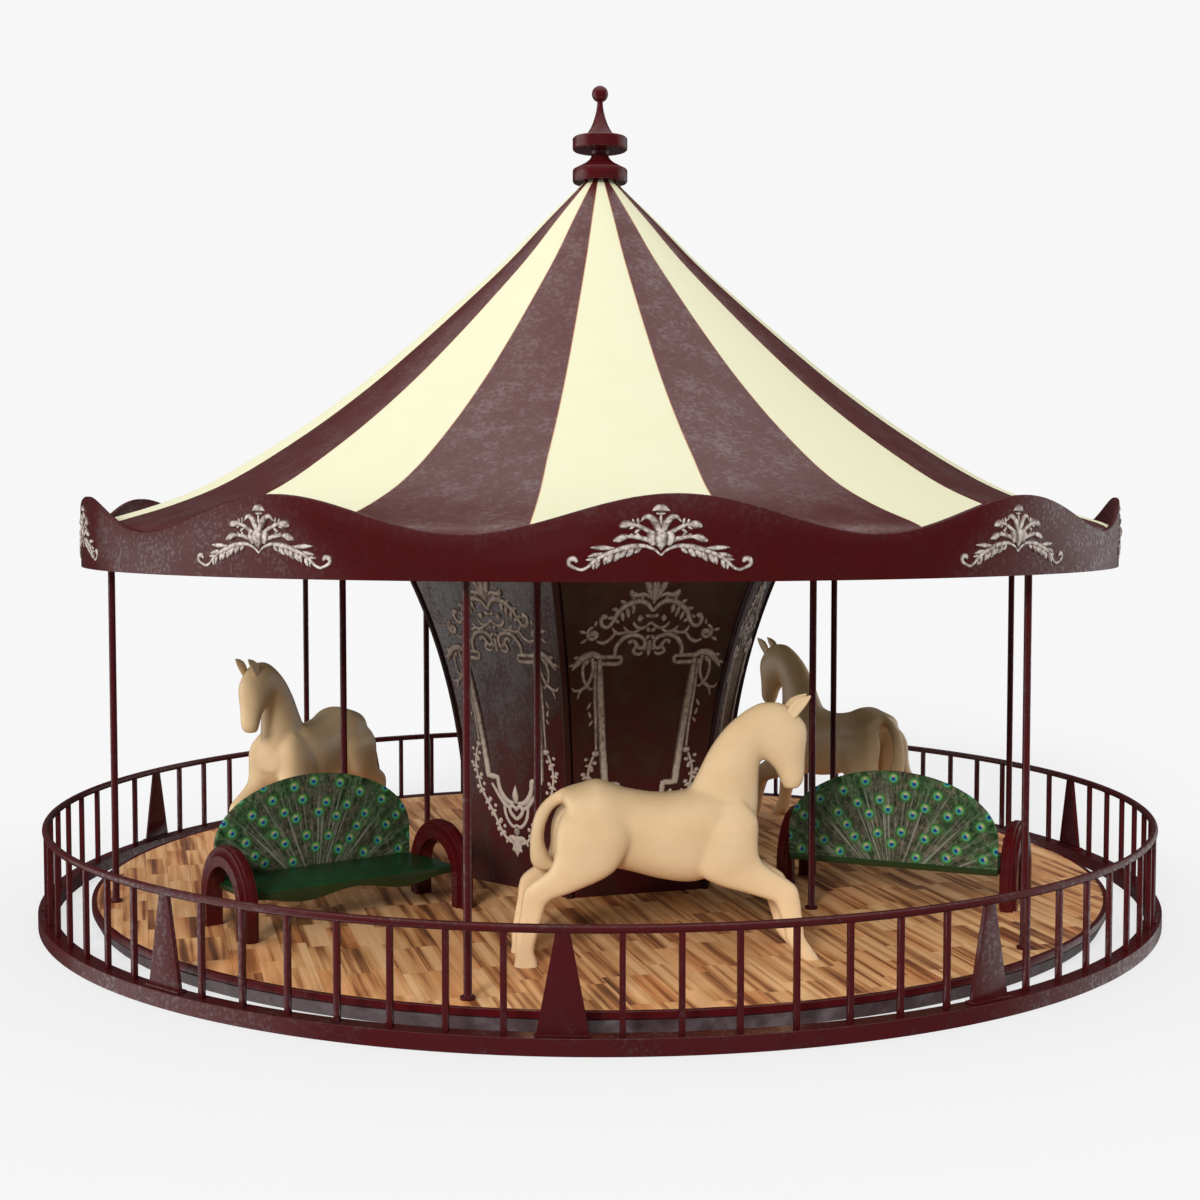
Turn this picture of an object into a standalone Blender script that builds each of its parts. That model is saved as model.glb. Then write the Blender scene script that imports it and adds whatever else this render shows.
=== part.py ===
"""Fairground carousel with three galloping horses and three peacock benches.

Metres, +Z up, with the origin on the ground at the centre of the turntable. A piece that stands in a
ring is modelled on the -Y side, where travel is towards +X, and is turned about Z to its place.
"""

import math

import bmesh
import bpy
from mathutils import Matrix, Vector

TOUCH = 0.0003  # between pieces that rest on or against each other
RUNNING_GAP = 0.005  # between the turntable and the plinth below it
FINE_SEGMENTS = 80
RING_SEGMENTS = 64

# Plinth, deck and bearing
PLATFORM_R = 3.2
PLINTH_FOOT_R = 3.162
PLINTH_TOP = 0.075
BEARING_R = 0.5
DECK_TOP = 0.1175
DECK_RIM_T = 0.03

# Curb and fence
CURB_OUTER_R = 3.507
CURB_INNER_R = 3.408
CURB_TOP = 0.083
FENCE_R = 3.456
RAIL_Z = 0.574
RAIL_TUBE_R = 0.0215
RAIL_SIDES = 8
BAYS = 10
PICKETS_PER_BAY = 7
PICKET_SIDE = 0.0285
POST_FOOT_W = 0.247
POST_HEAD_W = 0.06
POST_T = 0.022
POST_FLANGE_H = 0.012
POST_FLANGE_T = 0.06
FIRST_POST_AZ = -2.8

# Six-sided centre housing
SIDES = 6
FIRST_CORNER_AZ = -12.0
FIRST_PANEL_AZ = FIRST_CORNER_AZ + 180.0 / SIDES
CORE_FOOT_R = 0.896
CORE_FLARE = 0.466
CORE_FLARE_POWER = 2.48
CORE_TOP = 2.24
RIB_W = 0.042
RIB_DEPTH = 0.06
PANEL_T = 0.012
PANEL_SETBACK = 0.012
HOOP_H = 0.05
HOOP_DEPTH = 0.05
CORE_LEVELS = 9
CORE_CAP_T = 0.03

# Poles
POLE_R = 0.0205
POLE_FOOT_R = 0.038
POLE_FOOT_H = 0.016
OUTER_POLE_RING = 3.059
INNER_POLE_RING = 1.68
POLE_SEGMENTS = 10

# Rounding board, canopy and finial
BOARD_OUTER_R = 3.2295
BOARD_T = 0.03
BOARD_BOTTOM = 2.135
BOARD_WAVE_MID = 2.451
BOARD_WAVE = 0.095
FIRST_CREST_AZ = 6.4
CANOPY_T = 0.025
CANOPY_TOP = 4.57
CANOPY_SEGMENTS = 40
FINIAL_SEGMENTS = 16

# Riding pieces: a horse and a bench in turn, a sixth of a turn apart
RIDES = 3
FIRST_HORSE_AZ = 6.2
FIRST_BENCH_AZ = -53.8
HORSE_RING = 2.19

# Bench, from its own radial line: x is travel, radius is measured from the centre
BENCH_INNER_R = 1.248
BENCH_OUTER_R = 2.717
ARCH_T = 0.1
ARCH_STEP = 0.014
ARCH_CENTRE_X = 0.148
ARCH_OUTER_R = 0.317
ARCH_BAND_R = 0.262
ARCH_OPENING_R = 0.2
ARCH_SPRING_H = 0.171
SEAT_TOP = 0.248
SEAT_T = 0.04
SEAT_BACK_X = -0.173
SEAT_FRONT_X = 0.352
SEAT_TONGUE_HALF = 0.178
APRON_T = 0.03
APRON_DEEP = 0.082
BACK_T = 0.027
BACK_SPRING_H = 0.416
BACK_RISE = 0.374


def clear_scene():
    for left in list(bpy.data.objects):
        bpy.data.objects.remove(left, do_unlink=True)


def collection(name, hidden=False):
    group = bpy.data.collections.new(name)
    bpy.context.scene.collection.children.link(group)
    group.hide_render = hidden
    return group


def paint(name, colour, roughness):
    made = bpy.data.materials.new(name)
    made.use_nodes = True
    shader = made.node_tree.nodes["Principled BSDF"]
    shader.inputs["Base Color"].default_value = (*colour, 1.0)
    shader.inputs["Roughness"].default_value = roughness
    shader.inputs["Metallic"].default_value = 0.0
    made.diffuse_color = (*colour, 1.0)
    return made


def empty(name):
    axis = bpy.data.objects.new(name, None)
    axis.empty_display_size = 0.5
    PARTS.objects.link(axis)
    return axis


def finish(piece, name, material, parent, azimuth=0.0):
    """Names the piece, gives it its material and turns it to its place in the ring."""
    piece.name = name
    piece.data.name = name
    if not piece.data.materials:
        piece.data.materials.append(material)
    piece.rotation_euler.z = math.radians(azimuth)
    piece.parent = parent
    for home in list(piece.users_collection):
        home.objects.unlink(piece)
    PARTS.objects.link(piece)
    return piece


def copy_of(piece):
    twin = piece.copy()
    HELPERS.objects.link(twin)
    return twin


def ring_of(first, name, count, first_azimuth, material, parent):
    """Places a piece and its copies at equal steps round the axis."""
    step = 360.0 / count
    pieces = [first] + [copy_of(first) for _ in range(count - 1)]
    digits = 2 if count >= BAYS else 1
    for index, piece in enumerate(pieces):
        label = f"{name}_{index + 1:0{digits}d}"
        finish(piece, label, material, parent, first_azimuth + index * step)
    return pieces


def smooth(piece, degrees=35.0):
    piece.data.shade_smooth()
    piece.data.set_sharp_from_angle(angle=math.radians(degrees))


def object_from(shape, name="piece"):
    """A helper object from a bmesh, with its normals pointing out."""
    bmesh.ops.recalc_face_normals(shape, faces=shape.faces)
    mesh = bpy.data.meshes.new(name)
    shape.to_mesh(mesh)
    shape.free()
    piece = bpy.data.objects.new(name, mesh)
    HELPERS.objects.link(piece)
    return piece


def as_mesh(piece):
    """Replaces a curve, or an object with modifiers, with the plain mesh it makes."""
    bpy.context.view_layer.update()
    graph = bpy.context.evaluated_depsgraph_get()
    mesh = bpy.data.meshes.new_from_object(piece.evaluated_get(graph))
    shape = bmesh.new()
    shape.from_mesh(mesh)
    bmesh.ops.remove_doubles(shape, verts=shape.verts, dist=0.00001)
    shape.transform(piece.matrix_world)
    bpy.data.meshes.remove(mesh)
    bpy.data.objects.remove(piece, do_unlink=True)
    return object_from(shape)


def fused(pieces):
    """One solid from pieces that overlap."""
    body, *others = pieces
    for other in others:
        join = body.modifiers.new("Join", "BOOLEAN")
        join.operation = "UNION"
        join.object = other
    whole = as_mesh(body)
    for other in others:
        bpy.data.objects.remove(other, do_unlink=True)
    return whole


def box(size, centre, azimuth=0.0):
    """A block of the given size, centred in the -Y sector and then turned about Z."""
    shape = bmesh.new()
    bmesh.ops.create_cube(shape, size=1.0)
    turn = Matrix.Rotation(math.radians(azimuth), 4, "Z")
    shape.transform(turn @ Matrix.Translation(centre) @ Matrix.Diagonal((*size, 1.0)))
    return object_from(shape)


def turned(profile, steps, closed=False):
    """Turns (radius, height) points, given down the outer side, about the Z axis."""
    mesh = bpy.data.meshes.new("profile")
    ends = [(i, i + 1) for i in range(len(profile) - 1)]
    if closed:
        ends.append((len(profile) - 1, 0))
    mesh.from_pydata([(radius, 0.0, height) for radius, height in profile], ends, [])
    piece = bpy.data.objects.new("turned", mesh)
    HELPERS.objects.link(piece)
    screw = piece.modifiers.new("Turn", "SCREW")
    screw.axis = "Z"
    screw.angle = math.tau
    screw.steps = steps
    screw.render_steps = steps
    screw.use_merge_vertices = True
    screw.merge_threshold = 0.0001
    screw.use_smooth_shade = False
    return piece


def hoop(outer, inner, bottom, top, steps):
    return turned([(outer, top), (outer, bottom), (inner, bottom), (inner, top)], steps, closed=True)


def plate(outline, thickness):
    """A flat plate in the XZ plane, centred on Y = 0, from its outline points."""
    curve = bpy.data.curves.new("outline", "CURVE")
    curve.dimensions = "2D"
    curve.fill_mode = "BOTH"
    curve.extrude = thickness / 2
    spline = curve.splines.new("POLY")
    spline.points.add(len(outline) - 1)
    for point, (x, z) in zip(spline.points, outline):
        point.co = (x, z, 0.0, 1.0)
    spline.use_cyclic_u = True
    piece = bpy.data.objects.new("plate", curve)
    piece.rotation_euler.x = math.pi / 2
    HELPERS.objects.link(piece)
    return as_mesh(piece)


def loft(rings):
    """A closed skin over rings that all have the same number of points."""
    shape = bmesh.new()
    loops = [[shape.verts.new(point) for point in ring] for ring in rings]
    count = len(loops[0])
    for near, far in zip(loops, loops[1:]):
        for i in range(count):
            j = (i + 1) % count
            shape.faces.new((near[i], near[j], far[j], far[i]))
    shape.faces.new(loops[0])
    shape.faces.new(loops[-1])
    return object_from(shape)


def oval(first, second, half_width, lateral, sides):
    """A ring through two points of the side view, as wide as asked across the body."""
    start = Vector((first[0], lateral, first[1]))
    end = Vector((second[0], lateral, second[1]))
    centre, reach = (start + end) / 2, (start - end) / 2
    across = Vector((0.0, half_width, 0.0))
    turns = [math.tau * (i + 0.5) / sides for i in range(sides)]
    return [centre + reach * math.cos(turn) + across * math.sin(turn) for turn in turns]


def plinth():
    profile = [(0.0, PLINTH_TOP), (PLATFORM_R, PLINTH_TOP), (PLINTH_FOOT_R, 0.0), (0.0, 0.0)]
    return turned(profile, RING_SEGMENTS)


def turntable_bearing():
    """Lies on the plinth and carries the deck."""
    bottom, top = PLINTH_TOP + TOUCH, PLINTH_TOP + RUNNING_GAP - TOUCH
    profile = [(0.0, top), (BEARING_R, top), (BEARING_R, bottom), (0.0, bottom)]
    return turned(profile, RING_SEGMENTS)


def deck():
    radius = PLATFORM_R - DECK_RIM_T - TOUCH
    bottom = PLINTH_TOP + RUNNING_GAP
    return turned([(0.0, DECK_TOP), (radius, DECK_TOP), (radius, bottom), (0.0, bottom)], RING_SEGMENTS)


def deck_rim():
    bottom = PLINTH_TOP + RUNNING_GAP
    return hoop(PLATFORM_R, PLATFORM_R - DECK_RIM_T, bottom, DECK_TOP, RING_SEGMENTS)


def curb():
    return hoop(CURB_OUTER_R, CURB_INNER_R, 0.0, CURB_TOP, RING_SEGMENTS)


def rail_ring(azimuth):
    """The round rail's section in the upright plane through the axis at this azimuth."""
    points = []
    for i in range(RAIL_SIDES):
        turn = math.tau * (i + 0.5) / RAIL_SIDES
        out = FENCE_R + RAIL_TUBE_R * math.cos(turn)
        height = RAIL_Z + RAIL_TUBE_R * math.sin(turn)
        points.append(Vector((out * math.sin(azimuth), -out * math.cos(azimuth), height)))
    return points


def fence_bay():
    """One post and the rail and pickets that follow it, up to just before the next post."""
    pitch = 360.0 / BAYS / (PICKETS_PER_BAY + 1)
    foot = CURB_TOP + TOUCH
    end_gap = math.degrees(TOUCH / FENCE_R)
    start, end = -pitch / 2 + end_gap, pitch * (PICKETS_PER_BAY + 0.5) - end_gap
    stops = PICKETS_PER_BAY + 1
    azimuths = [math.radians(start + (end - start) * i / stops) for i in range(stops + 1)]
    pieces = [loft([rail_ring(azimuth) for azimuth in azimuths])]
    for i in range(1, PICKETS_PER_BAY + 1):
        centre = (0.0, -FENCE_R, (foot + RAIL_Z) / 2)
        pieces.append(box((PICKET_SIDE, PICKET_SIDE, RAIL_Z - foot), centre, i * pitch))
    outline = [
        (-POST_FOOT_W / 2, foot),
        (POST_FOOT_W / 2, foot),
        (POST_HEAD_W / 2, RAIL_Z),
        (-POST_HEAD_W / 2, RAIL_Z),
    ]
    post = plate(outline, POST_T)
    post.data.transform(Matrix.Translation((0.0, -FENCE_R, 0.0)))
    flange_w = POST_FOOT_W + POST_FLANGE_H
    flange = box(
        (flange_w, POST_FLANGE_T, POST_FLANGE_H), (0.0, -FENCE_R, foot + POST_FLANGE_H / 2)
    )
    return fused([*pieces, post, flange])


def core_corner_r(height):
    """The housing's corner radius at a height above the deck: it flares towards the top."""
    share = height / (CORE_TOP - DECK_TOP)
    return CORE_FOOT_R + CORE_FLARE * share**CORE_FLARE_POWER


def core_heights(bottom, top):
    return [bottom + (top - bottom) * i / (CORE_LEVELS - 1) for i in range(CORE_LEVELS)]


def core_rib(azimuth):
    rings = []
    for height in core_heights(TOUCH, CORE_TOP - DECK_TOP):
        outer = core_corner_r(height)
        corners = [(-RIB_W / 2, outer), (RIB_W / 2, outer)]
        corners += [(RIB_W / 2, outer - RIB_DEPTH), (-RIB_W / 2, outer - RIB_DEPTH)]
        rings.append([Vector((x, -radius, DECK_TOP + height)) for x, radius in corners])
    rib = loft(rings)
    rib.data.transform(Matrix.Rotation(math.radians(azimuth), 4, "Z"))
    return rib


def core_hoop(bottom):
    """A six-sided hoop behind the panels that ties the ribs together."""
    flat = math.cos(math.pi / SIDES)
    outer = core_corner_r(bottom) - PANEL_SETBACK - (PANEL_T + TOUCH) / flat
    top = bottom + HOOP_H
    profile = [
        (outer, DECK_TOP + top),
        (outer, DECK_TOP + bottom),
        (outer - HOOP_DEPTH, DECK_TOP + bottom),
        (outer - HOOP_DEPTH, DECK_TOP + top),
    ]
    ring = as_mesh(turned(profile, SIDES, closed=True))
    ring.data.transform(Matrix.Rotation(math.radians(FIRST_CORNER_AZ - 90.0), 4, "Z"))
    return ring


def core_frame():
    step = 360.0 / SIDES
    ribs = [core_rib(FIRST_CORNER_AZ + i * step) for i in range(SIDES)]
    top_hoop = core_hoop(CORE_TOP - DECK_TOP - HOOP_H - 0.0001)
    return fused([core_hoop(0.01), top_hoop, *ribs])


def core_panel():
    """A curved sheet between two ribs, modelled on the -Y side."""
    half_turn = math.pi / SIDES
    edge = (RIB_W / 2 + TOUCH + PANEL_T * math.sin(half_turn)) / math.cos(half_turn)
    rings = []
    for height in core_heights(TOUCH, CORE_TOP - DECK_TOP):
        corner = core_corner_r(height) - PANEL_SETBACK
        half, depth = corner * math.sin(half_turn) - edge, corner * math.cos(half_turn)
        corners = [(-half, depth), (half, depth), (half, depth - PANEL_T), (-half, depth - PANEL_T)]
        rings.append([Vector((x, -radius, DECK_TOP + height)) for x, radius in corners])
    return loft(rings)


def core_cap():
    radius = core_corner_r(CORE_TOP - DECK_TOP)
    bottom = CORE_TOP + TOUCH
    top = bottom + CORE_CAP_T
    cap = as_mesh(turned([(0.0, top), (radius, top), (radius, bottom), (0.0, bottom)], SIDES))
    cap.data.transform(Matrix.Rotation(math.radians(FIRST_CORNER_AZ - 90.0), 4, "Z"))
    return cap


def canopy_slope():
    """The roof's outer side from the top down, as (radius, height) points."""
    return [
        (0.107, CANOPY_TOP),
        (0.383, 4.301),
        (0.658, 4.022),
        (0.961, 3.747),
        (1.277, 3.472),
        (1.614, 3.197),
        (2.002, 2.918),
        (2.453, 2.643),
        (2.79, 2.5),
        (PLATFORM_R - 2 * TOUCH, 2.375),
    ]


def canopy_underside():
    """The roof's inner side, one sheet's thickness in from the outer side."""
    outer = canopy_slope()
    inner = []
    for (radius, height), (after, below) in zip(outer, outer[1:]):
        run, drop = after - radius, height - below
        long = math.hypot(run, drop)
        inner.append((radius - CANOPY_T * drop / long, height - CANOPY_T * run / long))
    inner[0] = (inner[0][0], CANOPY_TOP)
    inner.append((outer[-1][0], outer[-1][1] - CANOPY_T))
    return inner


def underside_height(radius):
    inner = canopy_underside()
    for (near, high), (far, low) in zip(inner, inner[1:]):
        if near <= radius <= far:
            return high + (low - high) * (radius - near) / (far - near)
    return inner[-1][1]


def canopy():
    profile = [*canopy_slope(), *reversed(canopy_underside())]
    return turned(profile, CANOPY_SEGMENTS, closed=True)


def pole(ring):
    """A pole at a ring's radius, from the deck to the roof above its outer side."""
    flat = math.cos(math.pi / CANOPY_SEGMENTS)
    top = underside_height((ring + POLE_R) / flat) - TOUCH
    foot = DECK_TOP + TOUCH
    profile = [
        (0.0, top),
        (POLE_R, top),
        (POLE_R, foot + POLE_FOOT_H),
        (POLE_FOOT_R, foot + POLE_FOOT_H),
        (POLE_FOOT_R, foot),
        (0.0, foot),
    ]
    piece = as_mesh(turned(profile, POLE_SEGMENTS))
    piece.data.transform(Matrix.Translation((0.0, -ring, 0.0)))
    smooth(piece)
    return piece


def rounding_board():
    """A thin wall round the eaves whose top edge rises and falls in ten waves."""
    shape = bmesh.new()
    lows, highs = [], []
    for i in range(FINE_SEGMENTS):
        azimuth = math.tau * i / FINE_SEGMENTS
        wave = math.cos(BAYS * (azimuth - math.radians(FIRST_CREST_AZ)))
        x, y = BOARD_OUTER_R * math.sin(azimuth), -BOARD_OUTER_R * math.cos(azimuth)
        lows.append(shape.verts.new((x, y, BOARD_BOTTOM)))
        highs.append(shape.verts.new((x, y, BOARD_WAVE_MID + BOARD_WAVE * wave)))
    for i in range(FINE_SEGMENTS):
        j = (i + 1) % FINE_SEGMENTS
        shape.faces.new((lows[i], lows[j], highs[j], highs[i]))
    mesh = bpy.data.meshes.new("board")
    shape.to_mesh(mesh)
    shape.free()
    board = bpy.data.objects.new("board", mesh)
    HELPERS.objects.link(board)
    wall = board.modifiers.new("Wall", "SOLIDIFY")
    wall.thickness = BOARD_T - TOUCH
    wall.offset = -1.0
    return board


def finial():
    base = CANOPY_TOP + TOUCH
    ball_r, ball_z = 0.0525, base + 0.564
    profile = [(0.0, ball_z + ball_r)]
    for degrees in (60, 30, 0, -30):
        angle = math.radians(degrees)
        profile.append((ball_r * math.cos(angle), ball_z + ball_r * math.sin(angle)))
    profile += [
        (0.018, ball_z - 0.047),
        (0.03, base + 0.42),
        (0.058, base + 0.345),
        (0.104, base + 0.288),
        (0.176, base + 0.28),
        (0.176, base + 0.207),
        (0.165, base + 0.197),
        (0.055, base + 0.182),
        (0.098, base + 0.128),
        (0.176, base + 0.085),
        (0.176, base + 0.008),
        (0.17, base),
        (0.0, base),
    ]
    return turned(profile, FINIAL_SEGMENTS)


def body_rings(stations, sides):
    return [oval(first, second, width, 0.0, sides) for first, second, width in stations]


def leg(stations, side):
    rings = [oval(first, second, width, side * out, 6) for first, second, out, width in stations]
    return loft(rings)


def horse():
    """A horse at full gallop: its side view is given in pairs of points, top and bottom or front and back."""
    trunk = [
        ((-0.452, 0.850), (-0.370, 0.73), 0.07),
        ((-0.430, 0.893), (-0.330, 0.60), 0.155),
        ((-0.320, 0.926), (-0.250, 0.48), 0.200),
        ((-0.240, 0.941), (-0.180, 0.478), 0.212),
        ((-0.100, 0.894), (-0.080, 0.455), 0.205),
        ((0.060, 0.867), (0.080, 0.412), 0.210),
        ((0.200, 0.874), (0.240, 0.393), 0.205),
        ((0.340, 0.900), (0.380, 0.430), 0.185),
        ((0.480, 0.850), (0.500, 0.490), 0.150),
        ((0.590, 0.730), (0.590, 0.590), 0.08),
    ]
    neck = [
        ((0.225, 0.86), (0.590, 0.62), 0.140),
        ((0.285, 0.975), (0.604, 0.80), 0.116),
        ((0.350, 1.100), (0.607, 0.94), 0.098),
        ((0.442, 1.218), (0.612, 1.01), 0.088),
        ((0.566, 1.312), (0.620, 1.035), 0.081),
        ((0.656, 1.338), (0.640, 1.028), 0.083),
        ((0.758, 1.320), (0.655, 1.017), 0.086),
        ((0.840, 1.245), (0.672, 1.000), 0.084),
        ((0.866, 1.179), (0.690, 0.982), 0.078),
        ((0.857, 1.055), (0.707, 0.955), 0.066),
        ((0.852, 0.930), (0.733, 0.895), 0.056),
        ((0.822, 0.876), (0.746, 0.872), 0.038),
    ]
    foreleg = [
        ((0.560, 0.66), (0.300, 0.50), 0.095, 0.070),
        ((0.585, 0.54), (0.350, 0.40), 0.115, 0.075),
        ((0.660, 0.465), (0.530, 0.345), 0.132, 0.060),
        ((0.757, 0.403), (0.645, 0.308), 0.142, 0.052),
        ((0.793, 0.352), (0.671, 0.285), 0.147, 0.050),
        ((0.820, 0.167), (0.718, 0.150), 0.150, 0.039),
        ((0.828, 0.111), (0.727, 0.100), 0.150, 0.043),
        ((0.862, 0.060), (0.755, 0.050), 0.150, 0.046),
        ((0.902, TOUCH), (0.800, TOUCH), 0.150, 0.055),
    ]
    hindleg = [
        ((-0.430, 0.84), (-0.180, 0.74), 0.120, 0.070),
        ((-0.478, 0.74), (-0.150, 0.60), 0.142, 0.078),
        ((-0.488, 0.64), (-0.185, 0.50), 0.156, 0.070),
        ((-0.490, 0.56), (-0.270, 0.44), 0.160, 0.060),
        ((-0.525, 0.49), (-0.400, 0.38), 0.158, 0.051),
        ((-0.642, 0.405), (-0.517, 0.335), 0.152, 0.045),
        ((-0.665, 0.290), (-0.550, 0.255), 0.148, 0.038),
        ((-0.697, 0.100), (-0.595, 0.090), 0.146, 0.040),
        ((-0.695, 0.050), (-0.588, 0.045), 0.146, 0.044),
        ((-0.702, TOUCH), (-0.574, TOUCH), 0.146, 0.053),
    ]
    tail = [
        ((-0.460, 0.905), (-0.440, 0.82), 0.030),
        ((-0.523, 0.844), (-0.480, 0.79), 0.036),
        ((-0.584, 0.756), (-0.520, 0.715), 0.042),
        ((-0.609, 0.613), (-0.531, 0.633), 0.046),
        ((-0.601, 0.501), (-0.512, 0.566), 0.046),
        ((-0.545, 0.460), (-0.487, 0.515), 0.038),
        ((-0.480, 0.470), (-0.465, 0.510), 0.025),
    ]
    pieces = [loft(body_rings(trunk, 12)), loft(body_rings(neck, 10))]
    for side in (-1, 1):
        pieces += [leg(foreleg, side), leg(hindleg, side)]
        ear = [
            oval((0.800, 1.275), (0.745, 1.305), 0.020, side * 0.045, 6),
            oval((0.832, 1.310), (0.790, 1.345), 0.026, side * 0.050, 6),
            oval((0.880, 1.370), (0.872, 1.373), 0.004, side * 0.055, 6),
        ]
        pieces.append(loft(ear))
    pieces.append(loft(body_rings(tail, 6)))
    piece = fused(pieces)
    piece.data.transform(Matrix.Translation((0.0, -HORSE_RING, DECK_TOP)))
    smooth(piece, 50.0)
    return piece


def arch_path(radius, steps=10):
    """Up the rear leg, over the crown and down the front leg, as (x, height) points."""
    points = [(ARCH_CENTRE_X - radius, 0.0)]
    for i in range(steps + 1):
        angle = math.pi * (1 - i / steps)
        points.append(
            (ARCH_CENTRE_X + radius * math.cos(angle), ARCH_SPRING_H + radius * math.sin(angle))
        )
    points.append((ARCH_CENTRE_X + radius, 0.0))
    return points


def bench_arch(inner_face):
    """An arm frame: a stepped arch whose band next to the opening stands proud on both sides."""
    middle = inner_face + ARCH_T / 2
    half, proud = ARCH_T / 2 - ARCH_STEP, ARCH_T / 2
    section = [
        (ARCH_OUTER_R, -half),
        (ARCH_OUTER_R, half),
        (ARCH_BAND_R, half),
        (ARCH_BAND_R, proud),
        (ARCH_OPENING_R, proud),
        (ARCH_OPENING_R, -proud),
        (ARCH_BAND_R, -proud),
        (ARCH_BAND_R, -half),
    ]
    paths = [arch_path(radius) for radius, _ in section]
    base = DECK_TOP + TOUCH
    rings = []
    for stop in zip(*paths):
        pairs = zip(stop, section)
        rings.append([Vector((x, -middle - out, base + height)) for (x, height), (_, out) in pairs])
    return loft(rings)


def bench_seat():
    """A slab with a wavy apron below its front edge and a tongue through each arm frame."""
    inner = BENCH_INNER_R + ARCH_T + TOUCH
    outer = BENCH_OUTER_R - ARCH_T - TOUCH
    middle, length = (inner + outer) / 2, outer - inner
    top = DECK_TOP + TOUCH + SEAT_TOP
    depth = SEAT_FRONT_X - SEAT_BACK_X
    slab_x = (SEAT_FRONT_X + SEAT_BACK_X) / 2
    slab = box((depth, length, SEAT_T), (slab_x, -middle, top - SEAT_T / 2))
    tongue_length = BENCH_OUTER_R - BENCH_INNER_R - 0.002
    tongue_t = SEAT_T - 0.01
    tongue = box(
        (2 * SEAT_TONGUE_HALF, tongue_length, tongue_t),
        (ARCH_CENTRE_X, -middle, top - 0.004 - tongue_t / 2),
    )
    waves, width = 24, length - 0.004
    edge = []
    for i in range(waves + 1):
        share = i / waves
        drop = (APRON_DEEP + SEAT_T) / 2 - (APRON_DEEP - SEAT_T) / 2 * math.cos(2 * math.tau * share)
        edge.append((width * (share - 0.5), -drop - 0.001))
    apron = plate([(-width / 2, -0.01), *edge, (width / 2, -0.01)], APRON_T)
    turn = Matrix.Rotation(-math.pi / 2, 4, "Z")
    place = Matrix.Translation((SEAT_FRONT_X + 0.001 - APRON_T / 2, -middle, top))
    apron.data.transform(place @ turn)
    return fused([slab, tongue, apron])


def bench_back():
    """A board with a half-oval top that stands on the seat's rear edge."""
    inner = BENCH_INNER_R + ARCH_T + TOUCH
    outer = BENCH_OUTER_R - ARCH_T - TOUCH
    middle, half = (inner + outer) / 2, (outer - inner) / 2
    foot = DECK_TOP + 2 * TOUCH + SEAT_TOP
    spring = DECK_TOP + BACK_SPRING_H
    outline = [(-half, foot), (half, foot)]
    steps = 16
    for i in range(steps + 1):
        angle = math.pi * i / steps
        outline.append((half * math.cos(angle), spring + BACK_RISE * math.sin(angle)))
    back = plate(outline, BACK_T)
    turn = Matrix.Rotation(-math.pi / 2, 4, "Z")
    back.data.transform(Matrix.Translation((SEAT_BACK_X + BACK_T / 2, -middle, 0.0)) @ turn)
    return back


def build():
    maroon = paint("maroon_paint", (0.09, 0.012, 0.014), 0.35)
    dark_maroon = paint("dark_panel_paint", (0.055, 0.012, 0.01), 0.3)
    grey = paint("plinth_paint", (0.05, 0.055, 0.055), 0.6)
    boards = paint("floor_boards", (0.45, 0.24, 0.11), 0.45)
    stripes = paint("canopy_cream_paint", (0.92, 0.9, 0.62), 0.5)
    cream = paint("horse_cream_paint", (0.68, 0.48, 0.26), 0.4)
    green = paint("seat_green_paint", (0.01, 0.055, 0.02), 0.25)
    feathers = paint("back_feather_green", (0.06, 0.1, 0.045), 0.45)

    base = empty("fixed_base")
    finish(plinth(), "plinth", grey, base)
    finish(turntable_bearing(), "turntable_bearing", grey, base)
    finish(curb(), "curb", maroon, base)
    ring_of(fence_bay(), "fence_bay", BAYS, FIRST_POST_AZ, maroon, base)

    table = empty("turntable_axis")
    finish(deck(), "deck", boards, table)
    finish(deck_rim(), "deck_rim", maroon, table)
    finish(core_frame(), "core_frame", maroon, table)
    ring_of(core_panel(), "core_panel", SIDES, FIRST_PANEL_AZ, dark_maroon, table)
    finish(core_cap(), "core_cap", maroon, table)
    ring_of(pole(OUTER_POLE_RING), "outer_pole", SIDES, FIRST_CORNER_AZ, maroon, table)
    ring_of(pole(INNER_POLE_RING), "inner_pole", SIDES, FIRST_CORNER_AZ, maroon, table)
    finish(rounding_board(), "rounding_board", maroon, table)
    finish(canopy(), "canopy", stripes, table)
    finish(finial(), "finial", maroon, table)
    ring_of(horse(), "horse", RIDES, FIRST_HORSE_AZ, cream, table)
    ring_of(bench_seat(), "bench_seat", RIDES, FIRST_BENCH_AZ, green, table)
    ring_of(bench_back(), "bench_back", RIDES, FIRST_BENCH_AZ, feathers, table)
    inner_arch = bench_arch(BENCH_INNER_R)
    outer_arch = bench_arch(BENCH_OUTER_R - ARCH_T)
    ring_of(inner_arch, "bench_inner_arch", RIDES, FIRST_BENCH_AZ, maroon, table)
    ring_of(outer_arch, "bench_outer_arch", RIDES, FIRST_BENCH_AZ, maroon, table)


clear_scene()
PARTS = collection("fairground_carousel")
HELPERS = collection("construction_helpers", hidden=True)
build()
bpy.data.collections.remove(HELPERS)
bpy.context.view_layer.update()
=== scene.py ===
"""Fairground carousel: the finish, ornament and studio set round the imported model.

Metres, +Z up, but the tables of the ornaments and the horse are in millimetres. A piece that stands in a
ring is made on the -Y side, where travel is towards +X, and is turned about Z to its place.
"""

import math

import bmesh
import bpy
from mathutils import Matrix, Vector


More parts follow.
